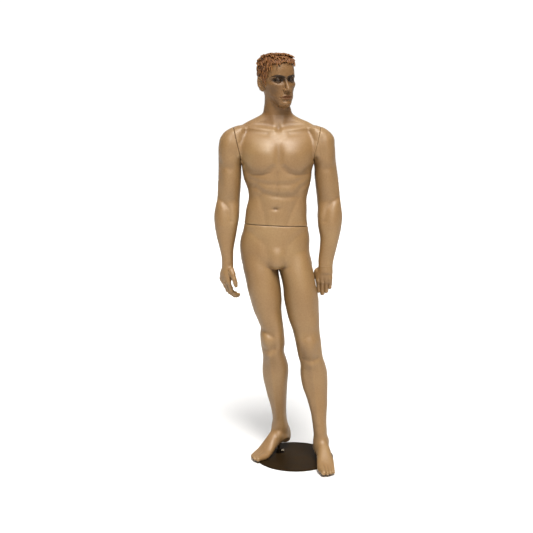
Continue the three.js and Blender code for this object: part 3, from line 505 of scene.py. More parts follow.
def hand_field(x, y, z, side):
    """One hand: t towards the thumb side, p towards the palm, d down from the wrist."""
    spec = HANDS[side]
    wx, wy = WRISTS[side]
    ta, pa = spec["thumb_axis"], spec["palm_axis"]
    d = WRIST_Z - z
    wx = wx + spec["lean"] * smoothstep(d / 45.0)
    t = ((x - wx) * ta[0] + (y - wy) * ta[1]) / math.hypot(*ta) + 0.0 * d
    p = ((x - wx) * pa[0] + (y - wy) * pa[1]) / math.hypot(*pa) + 0.0 * d
    d = d + 0.0 * t
    rows = [
        [-30, -20, 21, -17, 18, 0], [0, -21, 22, -17, 19, 0], [20, -28, 29, -18, 20, 1],
        [42, -34, 36, -17, 18, 2], [62, -36, 38, -14, 16, 2], [76, -35, 37, -10, 13, 2],
        [84, -32, 34, -7, 10, 2],
    ]
    f = loft(t, p, d, rows, 2.4, end=10.0)
    # the ball of the thumb and the heel of the hand
    f = smin(f, ellipsoid(t, p, d, (22, 13, 40), (16, 13, 26)), 12.0)
    f = smin(f, ellipsoid(t, p, d, (-22, 11, 42), (12, 10, 26)), 12.0)
    fingers = None
    start = spec["knuckle"]
    for index, (t0, radius, share) in enumerate(FINGERS):
        size = share * spec["reach"]
        pp, pd, angle = 0.0, start + spec["lower"][index] - 14.0, math.radians(3.0)
        path = [[t0, pp, pd, radius * 0.95]]
        bends = spec["bend"]
        for step, turn, thin in ((14, 0, 1.04), (23, bends[0], 0.93), (22, 0, 1.0), (14, bends[1], 0.88),
                                 (13, 0, 0.93), (10, bends[2] * 0.6, 0.86), (9, bends[2] * 0.4, 0.76)):
            angle += math.radians(turn * (1.0 + 0.06 * index))
            pp += math.sin(angle) * step * size
            pd += math.cos(angle) * step * size
            path.append([t0 * (1.0 - 0.0012 * (pd - start)), pp, pd, radius * thin])
        finger = tube(t, p, d, path)
        fingers = finger if fingers is None else smin(fingers, finger, 1.0)
        knuckle = path[1]
        f = smin(f, ellipsoid(t, p, d, (knuckle[0], knuckle[1] - 4.0, knuckle[2] - 2.0), (8, 7, 10)), 6.0)
    f = smin(f, fingers, 6.0)
    for t0 in (19, 0.5, -17):
        groove = np.exp(-0.5 * ((t - t0) / 2.2) ** 2) * smoothstep((d - start + 26.0) / 24.0)
        f = f + 1.2 * groove * smoothstep((start + 14.0 - d) / 10.0)
    thumb = tube(t, p, d, [[14, 5, 10, 13.0]] + spec["thumb"])
    return smin(f, thumb, 6.0)


# ------------------------------------------------------ the head, in its own frame with the chin at z = 0
HEAD_PLACE = (
    Matrix.Translation(Vector((-86.0, 0.0, 1693.5)))
    @ Matrix.Rotation(math.radians(26.0), 4, "Z")
    @ Matrix.Rotation(math.radians(-4.0), 4, "Y")
    @ Matrix.Rotation(math.radians(3.0), 4, "X")
    @ Matrix.Translation(Vector((0.0, 0.0, -86.0)))
)
SKULL = [
    [-2, -14, 14, -82, -50, -66], [4, -23, 23, -89, -36, -64], [14, -32, 32, -92, -14, -56],
    [28, -41, 41, -91, 12, -46], [44, -51, 51, -91, 34, -34], [62, -58, 58, -92, 54, -22],
    [80, -64, 64, -92, 70, -12], [96, -68, 68, -91, 80, -4], [112, -69, 69, -90, 80, 2],
    [130, -70, 70, -93, 84, 6], [150, -70, 70, -93, 86, 8], [170, -69, 69, -89, 86, 10],
    [190, -67, 67, -79, 85, 10], [205, -58, 58, -62, 74, 10], [216, -42, 42, -40, 56, 12],
    [223, -20, 20, -14, 34, 12],
]


def skull_field(x, y, z):
    return loft(x, y, z, SKULL, 2.15, 2.45, end=8.0)


def head_field(x, y, z):
    f = skull_field(x, y, z)
    xz, zz = x + 0.0 * z, z + 0.0 * x
    h = np.zeros(np.broadcast(xz, zz).shape)
    for s in (-1, 1):
        lump(h, xz, zz, s * 31, 113, 15, 9.5, -12.0)
        lump(h, xz, zz, s * 17, 118, 7, 9, -3.5)
        stroke(h, xz, zz, [(s * 12, 126), (s * 30, 130), (s * 50, 126)], 5.0, 4.2)
        lump(h, xz, zz, s * 50, 96, 12, 9, 5.0)
        lump(h, xz, zz, s * 44, 62, 12, 15, -4.0)
        lump(h, xz, zz, s * 20, 92, 9, 10, 2.0)
        stroke(h, xz, zz, [(s * 18, 68), (s * 25, 52), (s * 28, 40)], 3.0, -1.8)
        stroke(h, xz, zz, [(s * 16, 24), (s * 30, 22)], 7.0, -1.0)
        lump(h, xz, zz, s * 9, 12, 8, 8, 2.0)
        lump(h, xz, zz, s * 28, 158, 18, 14, 1.5)
    lump(h, xz, zz, 0, 126, 9, 7, 2.5)
    lump(h, xz, zz, 0, 118, 7, 6, -3.0)
    lump(h, xz, zz, 0, 46, 23, 15, 7.0)
    lump(h, xz, zz, 0, 13, 14, 10, 4.5)
    stroke(h, xz, zz, [(-13, 27), (13, 27)], 4.0, -3.4)
    f = f - h * smoothstep((-38.0 - y) / 26.0)
    # nose
    nose = tube(x, y, z, [[0, -84, 121, 7.0], [0, -93, 104, 7.6], [0, -104, 84, 8.6], [0, -109, 74, 9.4]])
    f = smin(f, nose, 9.0)
    for s in (-1, 1):
        wing = ellipsoid(x, y, z, (s * 11.5, -98, 71), (6.6, 11.5, 7.4))
        f = smin(f, wing, 4.0)
    for s in (1, -1):
        nostril = ellipsoid(x, y, z, (s * 5.6, -105, 63.0), (3.0, 5.4, 4.0))
        f = smax(f, -nostril, 1.5)
    # eyeballs and lids
    for s in (-1, 1):
        ex, ey, ez = s * EYE_AT[0], EYE_AT[1], EYE_AT[2]
        from_eye = np.sqrt((x - ex) ** 2 + (y - ey) ** 2 + (z - ez) ** 2)
        ball = from_eye - 12.6
        across = (x - ex) / 14.5
        opening = np.clip(1.0 - across ** 2, 0.0, 1.0)
        upper = (z - ez) - 5.2 * opening ** 0.75 - 0.6 * s * across
        lower = -(z - ez) - 4.2 * opening ** 0.85 + 0.6 * s * across
        slit = np.maximum(upper, lower)
        lid = smax(from_eye - 14.6, -slit, 1.0)
        f = smax(f, 0.6 - ball, 2.0)
        f = smin(f, lid, 3.0)
        f = np.minimum(f, ball)
        crease = np.exp(-0.5 * ((z - ez - 9.2 + 0.02 * (x - ex) ** 2) / 1.2) ** 2)
        crease = crease * np.exp(-0.5 * ((x - ex) / 11.0) ** 4)
        f = f + 1.3 * crease * smoothstep((-66.0 - y) / 8.0)
    # lips
    mouth = np.zeros_like(h)
    bow = [(-25, 42.0), (-12, 46.0), (-5, 48.0), (0, 47.0), (5, 48.0), (12, 46.0), (25, 42.0)]
    stroke(mouth, xz, zz, bow, 2.8, 3.6)
    stroke(mouth, xz, zz, [(-19, 37.0), (-8, 35.0), (8, 35.0), (19, 37.0)], 3.6, 3.8)
    stroke(mouth, xz, zz, [(-27, 40.4), (-10, 41.4), (0, 40.8), (10, 41.4), (27, 40.4)], 1.4, -4.0)
    stroke(mouth, xz, zz, [(0, 61), (0, 51)], 2.6, -1.6)
    lump(mouth, xz, zz, -28, 40.4, 3, 3, -1.6)
    lump(mouth, xz, zz, 28, 40.4, 3, 3, -1.6)
    f = f - mouth * smoothstep((-72.0 - y) / 14.0)
    # ears
    for s in (-1, 1):
        f = smin(f, ear_field(x * s, y, z), 3.0)
    return f


def ear_field(x, y, z):
    """The ear on the +x side: a flat shell with a rolled rim, a hollow and a lobe."""
    c, n = math.cos(0.42), math.sin(0.42)
    u = (x - 70.0) * c - (y - 6.0) * n
    v = (x - 70.0) * n + (y - 6.0) * c
    w = (z - 103.0) - 0.12 * v
    v = v - 0.10 * w
    shell = ellipsoid(u, v, w, (2.0, 4.0, 0.0), (6.5, 17.0, 30.0))
    shell = smin(shell, ellipsoid(u, v, w, (1.0, -1.0, -24.0), (4.5, 9.0, 10.0)), 5.0)
    hollow = ellipsoid(u, v, w, (9.0, 0.0, -3.0), (6.2, 9.5, 15.0))
    shell = smax(shell, -hollow, 2.5)

    def ridge(v0, w0, half_v, half_w, scale, u0, radius):
        from_oval = np.sqrt(((v - v0) / half_v) ** 2 + ((w - w0) / half_w) ** 2) * scale - scale
        return np.sqrt(from_oval ** 2 + (u - u0) ** 2) - radius

    rim = smax(ridge(4.0, 1.0, 13.0, 25.5, 17.0, 6.8, 2.6), -(w + 16.0), 3.0)
    inner = smax(ridge(2.5, -1.0, 8.0, 15.5, 11.0, 5.6, 1.9), -(v + 1.0), 3.0)
    shell = smin(shell, rim, 2.0)
    return smin(shell, inner, 2.0)


def hair_region(x, y, z):
    """Negative where the scalp carries hair: above the brow, over the ears and down to the nape."""
    front = (186.0 + 3.0 * np.cos(x / 9.0) - 0.0009 * np.abs(x) ** 2.2) - z
    # the hairline drops from the temple to the sideburn, rises over the ear and falls to the nape
    line = np.interp(y - 24.0 * smoothstep(x / 20.0), [-100, -62, -50, -34, -26, -12, -8, 4, 26, 34, 60, 110],
                     [181, 178, 160, 128, 100, 98, 128, 136, 132, 112, 92, 78])
    side = line - z
    return np.where(y < -62.0, np.maximum(front, side), side)


def tufts():
    """Short locks laid over the scalp, combed up and forward at the front and down at the sides."""
    rng = np.random.default_rng(41)
    table = np.array(SKULL, float)
    out = []
    while len(out) < LOCKS:
        turn = rng.uniform(-math.pi, math.pi)
        height = rng.uniform(55, 232)
        if rng.uniform() < 0.25:
            height = rng.uniform(205, 232)
        half, y0, y1, mid = (float(curve(height, table[:, 0], table[:, k])) for k in (2, 3, 4, 5))
        share = rng.uniform(0.1, 1.0) if height > 222 else 1.0
        x = half * math.sin(turn) * share
        depth = y1 - mid if math.cos(turn) > 0 else mid - y0
        y = mid + depth * math.cos(turn) * share
        if float(hair_region(np.array(x), np.array(y), np.array(height))) > -4.0:
            continue
        top = float(smoothstep((height - 176.0) / 40.0))
        flat = 1.0 - 0.75 * top
        normal = np.array([math.sin(turn) * flat, math.cos(turn) * flat, 0.1 + top])
        flow = np.array([0.35 * math.sin(turn), -0.9 * top - 0.25, -1.0 + 1.2 * top])
        flow = flow + rng.normal(0, 0.22, 3)
        out.append((np.array([x, y, height]), normal / np.linalg.norm(normal), flow, rng.uniform(0.8, 1.25)))
    return out


def hair_field(x, y, z):
    """The cap of hair, where on the scalp it may stand, and the bare skull."""
    cap = skull_field(x, y, z)
    thick = 3.2 + 3.0 * smoothstep((z - 120.0) / 70.0)
    # a squarer, flatter top than the skull
    box_top = loft(x, y, z, [
        [60, -56, 56, -60, 66], [100, -68, 68, -82, 80], [140, -72, 72, -98, 88], [175, -74, 74, -100, 90],
        [198, -74, 74, -98, 86], [214, -68, 68, -87, 78], [225, -58, 58, -70, 64], [231, -44, 44, -48, 46],
    ], 2.35, 2.5, end=5.0)
    f = np.minimum(cap - thick, smax(box_top, cap - 13.0, 6.0))
    return f, hair_region(x, y, z), cap


def hair_grid(xs, ys, zs):
    """The hair: a flat-topped cap with separate locks standing out of it."""
    coords = (xs[:, None, None], ys[None, :, None], zs[None, None, :])
    f, region, cap = hair_field(*coords)
    f = smax(f + 2.2, region * 0.9, 5.0)
    m = HEAD_PLACE
    height = m[2][0] * coords[0] + m[2][1] * coords[1] + m[2][2] * coords[2] + m[2][3]
    for root, normal, flow, size in tufts():
        # slide the root out to the surface of the cap
        for _ in range(4):
            i = [int(np.clip(np.searchsorted(c, root[k]), 1, len(c) - 2)) for k, c in enumerate((xs, ys, zs))]
            root = root - normal * float(f[i[0], i[1], i[2]]) * 0.8
        flow = flow - normal * flow.dot(normal)
        flow = flow / (np.linalg.norm(flow) + 1e-6)
        bow = np.cross(normal, flow)
        start = root - normal * 1.5
        path = []
        lift = 0.7 + 0.9 * float(smoothstep((root[2] - 165.0) / 40.0))
        for t, rise, radius in ((0.0, 0.0, 3.0), (7.0, 1.3, 2.9), (15.0, 1.7, 2.2), (23.0, 0.8, 1.0)):
            p = start + (flow * t + normal * (rise * lift) + bow * 1.3 * math.sin(t * 0.17 + root[0])) * size
            path.append([*p, radius * size])
        points = np.array(path)[:, :3]
        spans = []
        for k, c in enumerate((xs, ys, zs)):
            low, high = np.searchsorted(c, (points[:, k].min() - 7.0, points[:, k].max() + 7.0))
            spans.append(slice(max(int(low), 0), min(int(high) + 1, len(c))))
        part = f[spans[0], spans[1], spans[2]]
        if part.size == 0:
            continue
        near_x = xs[spans[0]][:, None, None]
        near_y = ys[spans[1]][None, :, None]
        near_z = zs[spans[2]][None, None, :]
        part[...] = smin(part, tube(near_x, near_y, near_z, path), 1.2)
    f = smax(f, height - HAIR_TOP_Z, 6.0)
    return smax(f, -(cap + 3.0), 1.0)


# ---------------------------------------------------------------- meshing
def axis(low, *spans):
    """Grid coordinates from low through spans of (end, step)."""
    parts = [np.array([float(low)])]
    for high, step in spans:
        start = parts[-1][-1]
        count = max(int(math.ceil((high - start) / (step * COARSE))), 2)
        parts.append(np.linspace(start, high, count + 1)[1:])
    return np.concatenate(parts)


def surface_nets(f, xs, ys, zs):
    """Closed quad mesh of the zero surface of f, sampled at xs, ys, zs."""
    f = f.astype(np.float32).copy()
    for face in (f[0], f[-1], f[:, 0], f[:, -1], f[:, :, 0], f[:, :, -1]):
        np.maximum(face, 0.5, out=face)
    tiny = 0.02
    f[np.abs(f) < tiny] = tiny
    for _ in range(12):
        inside = f < 0
        count = 0
        for a, b in ((0, 1), (0, 2), (1, 2)):
            def view(da, db):
                index = [slice(None)] * 3
                index[a] = slice(1, None) if da else slice(None, -1)
                index[b] = slice(1, None) if db else slice(None, -1)
                return tuple(index)

            i00, i10, i11, i01 = (inside[view(*k)] for k in ((0, 0), (1, 0), (1, 1), (0, 1)))
            bad = (i00 == i11) & (i10 == i01) & (i00 != i10)
            count += int(bad.sum())
            for k in ((0, 0), (1, 0), (1, 1), (0, 1)):
                part = f[view(*k)]
                part[bad & (part < 0)] = tiny
        if count == 0:
            break
    inside = f < 0
    nx, ny, nz = f.shape
    total = np.zeros((nx - 1, ny - 1, nz - 1), np.uint8)
    for di in (0, 1):
        for dj in (0, 1):
            for dk in (0, 1):
                total += inside[di:nx - 1 + di, dj:ny - 1 + dj, dk:nz - 1 + dk]
    active = (total > 0) & (total < 8)
    ci, cj, ck = np.nonzero(active)
    number = np.full(active.shape, -1, np.int32)
    number[ci, cj, ck] = np.arange(len(ci))
    acc = np.zeros((len(ci), 3))
    weight = np.zeros(len(ci))
    corners = [(a, b, c) for a in (0, 1) for b in (0, 1) for c in (0, 1)]
    coords = (xs, ys, zs)
    for p in corners:
        for direction in range(3):
            if p[direction]:
                continue
            q = list(p)
            q[direction] = 1
            f0 = f[ci + p[0], cj + p[1], ck + p[2]]
            f1 = f[ci + q[0], cj + q[1], ck + q[2]]
            cross = (f0 < 0) != (f1 < 0)
            t = np.where(cross, f0 / np.where(cross, f0 - f1, 1.0), 0.0)
            for k, idx in enumerate((ci, cj, ck)):
                start = coords[k][idx + p[k]]
                stop = coords[k][idx + q[k]]
                acc[:, k] += np.where(cross, start + (stop - start) * t, 0.0)
            weight += cross
    verts = acc / weight[:, None]
    quads = []
    for d in range(3):
        e, g = [k for k in range(3) if k != d]
        lo = [slice(None)] * 3
        hi = [slice(None)] * 3
        lo[d], hi[d] = slice(None, -1), slice(1, None)
        for k in (e, g):
            lo[k] = hi[k] = slice(1, -1)
        a, b = inside[tuple(lo)], inside[tuple(hi)]
        idx = np.argwhere(a != b)
        out = a[a != b]
        idx[:, e] += 1
        idx[:, g] += 1
        ring = []
        for de, dg in ((1, 1), (0, 1), (0, 0), (1, 0)):
            cell = idx.copy()
            cell[:, e] -= de
            cell[:, g] -= dg
            ring.append(number[cell[:, 0], cell[:, 1], cell[:, 2]])
        quad = np.stack(ring, 1)
        forward = out if d != 1 else ~out
        quad[~forward] = quad[~forward][:, ::-1]
        quads.append(quad)
    quads = np.concatenate(quads)
    # one relaxation onto the sampled field removes the small steps of the grid
    for _ in range(2):
        value, grad = sample(f, coords, verts)
        size = (grad ** 2).sum(1)
        step = np.clip(value / np.maximum(size, 0.05), -1.5, 1.5)
        verts = verts - grad * step[:, None] * (size > 0.05)[:, None]
    return verts, quads


def sample(f, coords, points):
    """Trilinear value and gradient of the grid at the points."""
    index, local, width = [], [], []
    for k in range(3):
        i = np.clip(np.searchsorted(coords[k], points[:, k]) - 1, 0, len(coords[k]) - 2)
        w = coords[k][i + 1] - coords[k][i]
        index.append(i)
        width.append(w)
        local.append(np.clip((points[:, k] - coords[k][i]) / w, 0.0, 1.0))
    value = np.zeros(len(points))
    grad = np.zeros((len(points), 3))
    for a in (0, 1):
        for b in (0, 1):
            for c in (0, 1):
                v = f[index[0] + a, index[1] + b, index[2] + c]
                wx = local[0] if a else 1 - local[0]
                wy = local[1] if b else 1 - local[1]
                wz = local[2] if c else 1 - local[2]
                value += v * wx * wy * wz
                grad[:, 0] += v * (1 if a else -1) / width[0] * wy * wz
                grad[:, 1] += v * (1 if b else -1) / width[1] * wx * wz
                grad[:, 2] += v * (1 if c else -1) / width[2] * wx * wy
    return value, grad


def keep_largest(verts, quads):
    """Drops loose bits, keeping the largest connected surface."""
    label = np.arange(len(verts))
    for _ in range(400):
        low = label[quads].min(1)
        new = label.copy()
        np.minimum.at(new, quads.ravel(), np.repeat(low, 4))
        new = new[new]
        if (new == label).all():
            break
        label = new
    names, counts = np.unique(label[quads[:, 0]], return_counts=True)
    keep = label[quads[:, 0]] == names[counts.argmax()]
    quads = quads[keep]
    used = np.unique(quads)
    remap = np.full(len(verts), -1)
    remap[used] = np.arange(len(used))
    return verts[used], remap[quads]


def new_mesh(name, verts, faces):
    mesh = bpy.data.meshes.new(name)
    size = faces.shape[1]
    mesh.vertices.add(len(verts))
    mesh.vertices.foreach_set("co", (np.asarray(verts) * 0.001).astype(np.float32).ravel())
    mesh.loops.add(faces.size)
    mesh.loops.foreach_set("vertex_index", faces.astype(np.int32).ravel())
    mesh.polygons.add(len(faces))
    mesh.polygons.foreach_set("loop_start", np.arange(0, faces.size, size, dtype=np.int32))
    mesh.update(calc_edges=True)
    mesh.validate()
    return mesh


def new_object(name, mesh):
    obj = bpy.data.objects.new(name, mesh)
    bpy.context.scene.collection.objects.link(obj)
    return obj


def skin_piece(name, field, xs, ys, zs, place=None):
    """Meshes the field over the grid; place moves the result from its own frame."""
    if callable(field):
        f = field(xs[:, None, None], ys[None, :, None], zs[None, None, :])
    else:
        f = field
    verts, quads = keep_largest(*surface_nets(np.broadcast_to(f, (len(xs), len(ys), len(zs))), xs, ys, zs))
    if place is not None:
        m = np.array(place)
        verts = verts @ m[:3, :3].T + m[:3, 3]
    return new_object(name, new_mesh(name, verts, quads))


# ---------------------------------------------------------------- cutters
def axes_at(origin, direction):
    """Frame with its z axis along the direction and y near +Y, in millimetres."""
    z = Vector(direction).normalized()
    x = Vector((0, 1, 0)).cross(z).normalized()
    y = z.cross(x)
    m = Matrix((x, y, z)).transposed().to_4x4()
    m.translation = Vector(origin)
    return m


def prism(points, z0, z1, matrix=None):
    """Closed prism over a polygon, given anticlockwise."""
    n = len(points)
    verts = np.array([(x, y, z) for z in (z0, z1) for x, y in points], float)
    if matrix is not None:
        m = np.array(matrix)
        verts = verts @ m[:3, :3].T + m[:3, 3]
    mesh = bpy.data.meshes.new("cutter")
    faces = [list(range(n))[::-1], list(range(n, 2 * n))]
    faces += [[i, (i + 1) % n, n + (i + 1) % n, n + i] for i in range(n)]
    mesh.from_pydata([tuple(v * 0.001) for v in verts], [], faces)
    return new_object("cutter", mesh)


def slab(w, d, z0, z1, matrix=None):
    """Block w by d, centred on the z axis."""
    w, d = w / 2, d / 2
    return prism([(-w, -d), (w, -d), (w, d), (-w, d)], z0, z1, matrix)


def drum(radius, z0, z1, matrix=None, sides=48):
    """Cylinder round the z axis."""
    angles = [2 * math.pi * i / sides for i in range(sides)]
    return prism([(radius * math.cos(a), radius * math.sin(a)) for a in angles], z0, z1, matrix)


def carve(obj, steps):
    """Applies (operation, cutter) steps and bakes the result into the mesh."""
    for operation, cutter in steps:
        count = len(obj.data.polygons)
        for solver in ("MANIFOLD", "EXACT"):
            mod = obj.modifiers.new("cut", "BOOLEAN")
            mod.operation = operation
            mod.solver = solver
            mod.object = cutter
            graph = bpy.context.evaluated_depsgraph_get()
            mesh = bpy.data.meshes.new_from_object(obj.evaluated_get(graph))
            obj.modifiers.remove(mod)
            if len(mesh.polygons) > 3 and len(mesh.polygons) != count:
                break
        obj.data = mesh
    for _, cutter in steps:
        if cutter.name in bpy.data.objects:
            bpy.data.objects.remove(cutter)
    return obj


def over_plane(x, y, z, origin, direction):
    """Distance in front of a plane, in millimetres."""
    length = math.sqrt(sum(v * v for v in direction))
    return sum((p - o) * v for p, o, v in zip((x, y, z), origin, direction)) / length


def finish_skin(obj, angle=50.0):
    """Smooth shading, and the masks that the skin paint reads: painted shade in hollows and painted highlight
    on ridges, painted shade along the seams, painted shade under the chin with darker paint on the face.
    """
    mesh = obj.data
    mesh.polygons.foreach_set("use_smooth", np.ones(len(mesh.polygons), bool))
    mesh.set_sharp_from_angle(angle=math.radians(angle))
    co = coordinates(mesh)
    # the photograph shows the seams of the waist and the right shoulder, and none at the left one
    # painted shade: a thin dark band along the waist and right-shoulder seams, where the gaps between the
    # shells lie in shadow
    waist_line = np.exp(-0.5 * (over_plane(*co.T, WAIST_AT, WAIST_AXIS) / 1.2) ** 2)
    seam = 0.85 * waist_line * (np.abs(co[:, 0] + 86.0) < 150.0)
    right = SHOULDERS["right"]
    shoulder_line = np.exp(-0.5 * (over_plane(*co.T, right["at"], right["out"]) / 1.1) ** 2)
    seam = np.maximum(seam, 0.8 * shoulder_line * (co[:, 2] > ARMPIT_Z - 4.0))
    reach = 76.0 + 2.0 * np.maximum(co[:, 2] - 1575.0, 0.0)
    # painted shade under the chin and down the neck, together with darker paint over the face and head
    neck_shade_and_face_tone = smoothstep((co[:, 2] - 1500.0) / 60.0) * smoothstep((reach - np.abs(co[:, 0] + 80.0)) / 24.0)
    for name, values in (("hollow", cavity(mesh, co)), ("seam", seam), ("neck_shade_and_face_tone", neck_shade_and_face_tone)):
        attribute = mesh.attributes.new(name, "FLOAT", "POINT")
        attribute.data.foreach_set("value", values.astype(np.float32))
    return obj


def coordinates(mesh):
    co = np.empty(len(mesh.vertices) * 3)
    mesh.vertices.foreach_get("co", co)
    return co.reshape(-1, 3) * 1000.0


def cavity(mesh, co):
    """Smoothed concavity at each vertex: positive in creases, negative on ridges."""
    n = len(co)
    normal = np.empty(n * 3)
    mesh.vertex_normals.foreach_get("vector", normal)
    normal = normal.reshape(-1, 3)
    edges = np.empty(len(mesh.edges) * 2, int)
    mesh.edges.foreach_get("vertices", edges)
    a, b = edges.reshape(-1, 2).T
    degree = np.maximum(np.bincount(a, minlength=n) + np.bincount(b, minlength=n), 1)

    def average(values):
        out = np.zeros_like(values)
        for k in range(values.shape[1]):
            out[:, k] = (np.bincount(a, values[b, k], n) + np.bincount(b, values[a, k], n)) / degree
        return out

    smooth = co
    for _ in range(10):
        smooth = average(smooth) * 0.5 + smooth * 0.5
    value = ((smooth - co) * normal).sum(1)[:, None]
    for _ in range(3):
        value = average(value) * 0.5 + value * 0.5
    return value[:, 0]


# ---------------------------------------------------------------- materials
def srgb(r, g, b):
    """Linear colour from 0-255 values."""
    out = []
    for c in (r, g, b):
        c = c / 255.0
        out.append(c / 12.92 if c <= 0.04045 else ((c + 0.055) / 1.055) ** 2.4)
    return (*out, 1.0)


class Nodes:
    """A small builder for one material's node tree."""

    def __init__(self, name):
        self.material = bpy.data.materials.new(name)
        self.material.use_nodes = True
        self.tree = self.material.node_tree
        self.shader = self.tree.nodes["Principled BSDF"]

    def add(self, kind, **values):
        node = self.tree.nodes.new(kind)
        for key, value in values.items():
            setattr(node, key, value)
        return node

    def link(self, out, socket):
        self.tree.links.new(out, socket)

    def coordinates(self):
        return self.add("ShaderNodeTexCoord").outputs["Object"]

    def noise(self, scale, detail=4.0, roughness=0.55, stretch=None):
        node = self.add("ShaderNodeTexNoise")
        node.inputs["Scale"].default_value = scale
        node.inputs["Detail"].default_value = detail
        node.inputs["Roughness"].default_value = roughness
        source = self.coordinates()
        if stretch:
            mapping = self.add("ShaderNodeMapping")
            mapping.inputs["Scale"].default_value = stretch
            self.link(source, mapping.inputs["Vector"])
            source = mapping.outputs["Vector"]
        self.link(source, node.inputs["Vector"])
        return node.outputs["Fac"]

    def ramp(self, fac, stops):
        node = self.add("ShaderNodeValToRGB")
        ramp = node.color_ramp
        while len(ramp.elements) < len(stops):
            ramp.elements.new(0.5)
        for element, (position, colour) in zip(ramp.elements, stops):
            element.position = position
            element.color = colour
        self.link(fac, node.inputs["Fac"])
        return node.outputs["Color"]

    def span(self, value, low, high, to_low, to_high):
        node = self.add("ShaderNodeMapRange")
        node.inputs["From Min"].default_value = low
        node.inputs["From Max"].default_value = high
        node.inputs["To Min"].default_value = to_low
        node.inputs["To Max"].default_value = to_high
        self.link(value, node.inputs["Value"])
        return node.outputs["Result"]

    def mix(self, fac, a, b):
        node = self.add("ShaderNodeMix", data_type="RGBA")
        for value, name, kind in ((fac, "Factor", "VALUE"), (a, "A", "RGBA"), (b, "B", "RGBA")):
            socket = next(s for s in node.inputs if s.name == name and s.type == kind)
            if isinstance(value, (float, tuple)):
                socket.default_value = value
            else:
                self.link(value, socket)
        return next(s for s in node.outputs if s.type == "RGBA")

    def attribute(self, name):
        return self.add("ShaderNodeAttribute", attribute_name=name).outputs["Fac"]

    def bump(self, height, strength, distance):
        node = self.add("ShaderNodeBump")
        node.inputs["Strength"].default_value = strength
        node.inputs["Distance"].default_value = distance
        self.link(height, node.inputs["Height"])
        self.link(node.outputs["Normal"], self.shader.inputs["Normal"])

    def set(self, **values):
        for key, value in values.items():
            self.shader.inputs[key.replace("_", " ")].default_value = value


def skin_material(name, head=False):
    m = Nodes(name)
    broad = m.noise(5.5, 3.0)
    base = m.ramp(broad, [(0.32, srgb(127, 98, 61)), (0.52, srgb(133, 105, 68)), (0.72, srgb(139, 113, 76))])
    fine = m.noise(150.0, 5.0, 0.6)
    base = m.mix(0.08, base, m.ramp(fine, [(0.35, srgb(146, 110, 70)), (0.65, srgb(200, 170, 130))]))
    hollow = m.attribute("hollow")
    # painted shade darkens the creases and hollows, and a painted highlight lightens the ridges
    base = m.mix(m.span(hollow, 0.05, 1.5, 0.0, 0.6), base, srgb(84, 54, 26))
    base = m.mix(m.span(hollow, -0.1, -1.2, 0.0, 0.08), base, srgb(190, 164, 124))
    # painted shade in the seam gaps
    base = m.mix(m.span(m.attribute("seam"), 0.1, 1.0, 0.0, 0.85), base, srgb(70, 42, 20))
    # painted shade under the chin and down the neck, with darker paint on the face
    base = m.mix(m.span(m.attribute("neck_shade_and_face_tone"), 0.0, 1.0, 0.0, 0.5), base, srgb(104, 72, 42))
    if head:
        base = m.mix(m.span(m.attribute("lips"), 0.0, 1.0, 0.0, 0.75), base, srgb(104, 66, 40))
        # painted shade round the eyes and in the cheek hollows, with dark eye make-up
        base = m.mix(m.span(m.attribute("shade"), 0.0, 1.0, 0.0, 0.85), base, srgb(52, 36, 21))
        base = m.mix(m.span(m.attribute("brow"), 0.0, 1.0, 0.0, 0.95), base, srgb(46, 31, 16))
    m.link(base, m.shader.inputs["Base Color"])
    m.link(m.span(m.noise(38.0, 4.0), 0.3, 0.7, 0.46, 0.54), m.shader.inputs["Roughness"])
    m.set(Specular_IOR_Level=0.45 if head else 0.75)
    m.bump(m.noise(620.0, 3.0), 0.05, 0.0006)
    return m.material


def hair_material():
    m = Nodes("painted_hair")
    strands = m.noise(300.0, 4.0, 0.6, (1.0, 1.0, 0.28))
    base = m.ramp(strands, [(0.25, srgb(60, 37, 16)), (0.5, srgb(106, 68, 32)), (0.75, srgb(142, 96, 48))])
    base = m.mix(m.span(m.noise(26.0, 3.0), 0.4, 0.62, 0.0, 0.45), base, srgb(88, 50, 24))
    # painted shade between the locks, and a painted highlight on their crests
    hollow = m.attribute("hollow")
    base = m.mix(m.span(hollow, 0.0, 0.9, 0.0, 0.62), base, srgb(62, 34, 14))
    base = m.mix(m.span(hollow, -0.1, -0.8, 0.0, 0.5), base, srgb(156, 112, 62))
    m.link(base, m.shader.inputs["Base Color"])
    m.link(m.span(strands, 0.3, 0.7, 0.46, 0.6), m.shader.inputs["Roughness"])
    m.bump(strands, 0.35, 0.0012)
    return m.material


def metal_material(name, dark, light, rough, scale=90.0, stretch=(1.0, 1.0, 0.1)):
    m = Nodes(name)
    grain = m.noise(scale, 5.0, 0.6, stretch)
    m.link(m.ramp(grain, [(0.3, dark), (0.7, light)]), m.shader.inputs["Base Color"])
    m.link(m.span(grain, 0.3, 0.7, rough[0], rough[1]), m.shader.inputs["Roughness"])
    m.set(Metallic=1.0)
    m.bump(grain, 0.06, 0.0004)
    return m.material


def plate_material():
    m = Nodes("bronze_lacquer")
    grain = m.noise(14.0, 6.0, 0.6)
    fleck = m.noise(420.0, 3.0, 0.5)
    base = m.ramp(grain, [(0.3, srgb(40, 30, 17)), (0.7, srgb(54, 41, 24))])
    base = m.mix(0.15, base, m.ramp(fleck, [(0.4, srgb(28, 20, 12)), (0.7, srgb(84, 66, 44))]))
    m.link(base, m.shader.inputs["Base Color"])
    m.link(m.span(grain, 0.3, 0.7, 0.42, 0.55), m.shader.inputs["Roughness"])
    m.set(Metallic=0.0, Specular_IOR_Level=0.03)
    m.bump(fleck, 0.08, 0.0004)
    return m.material


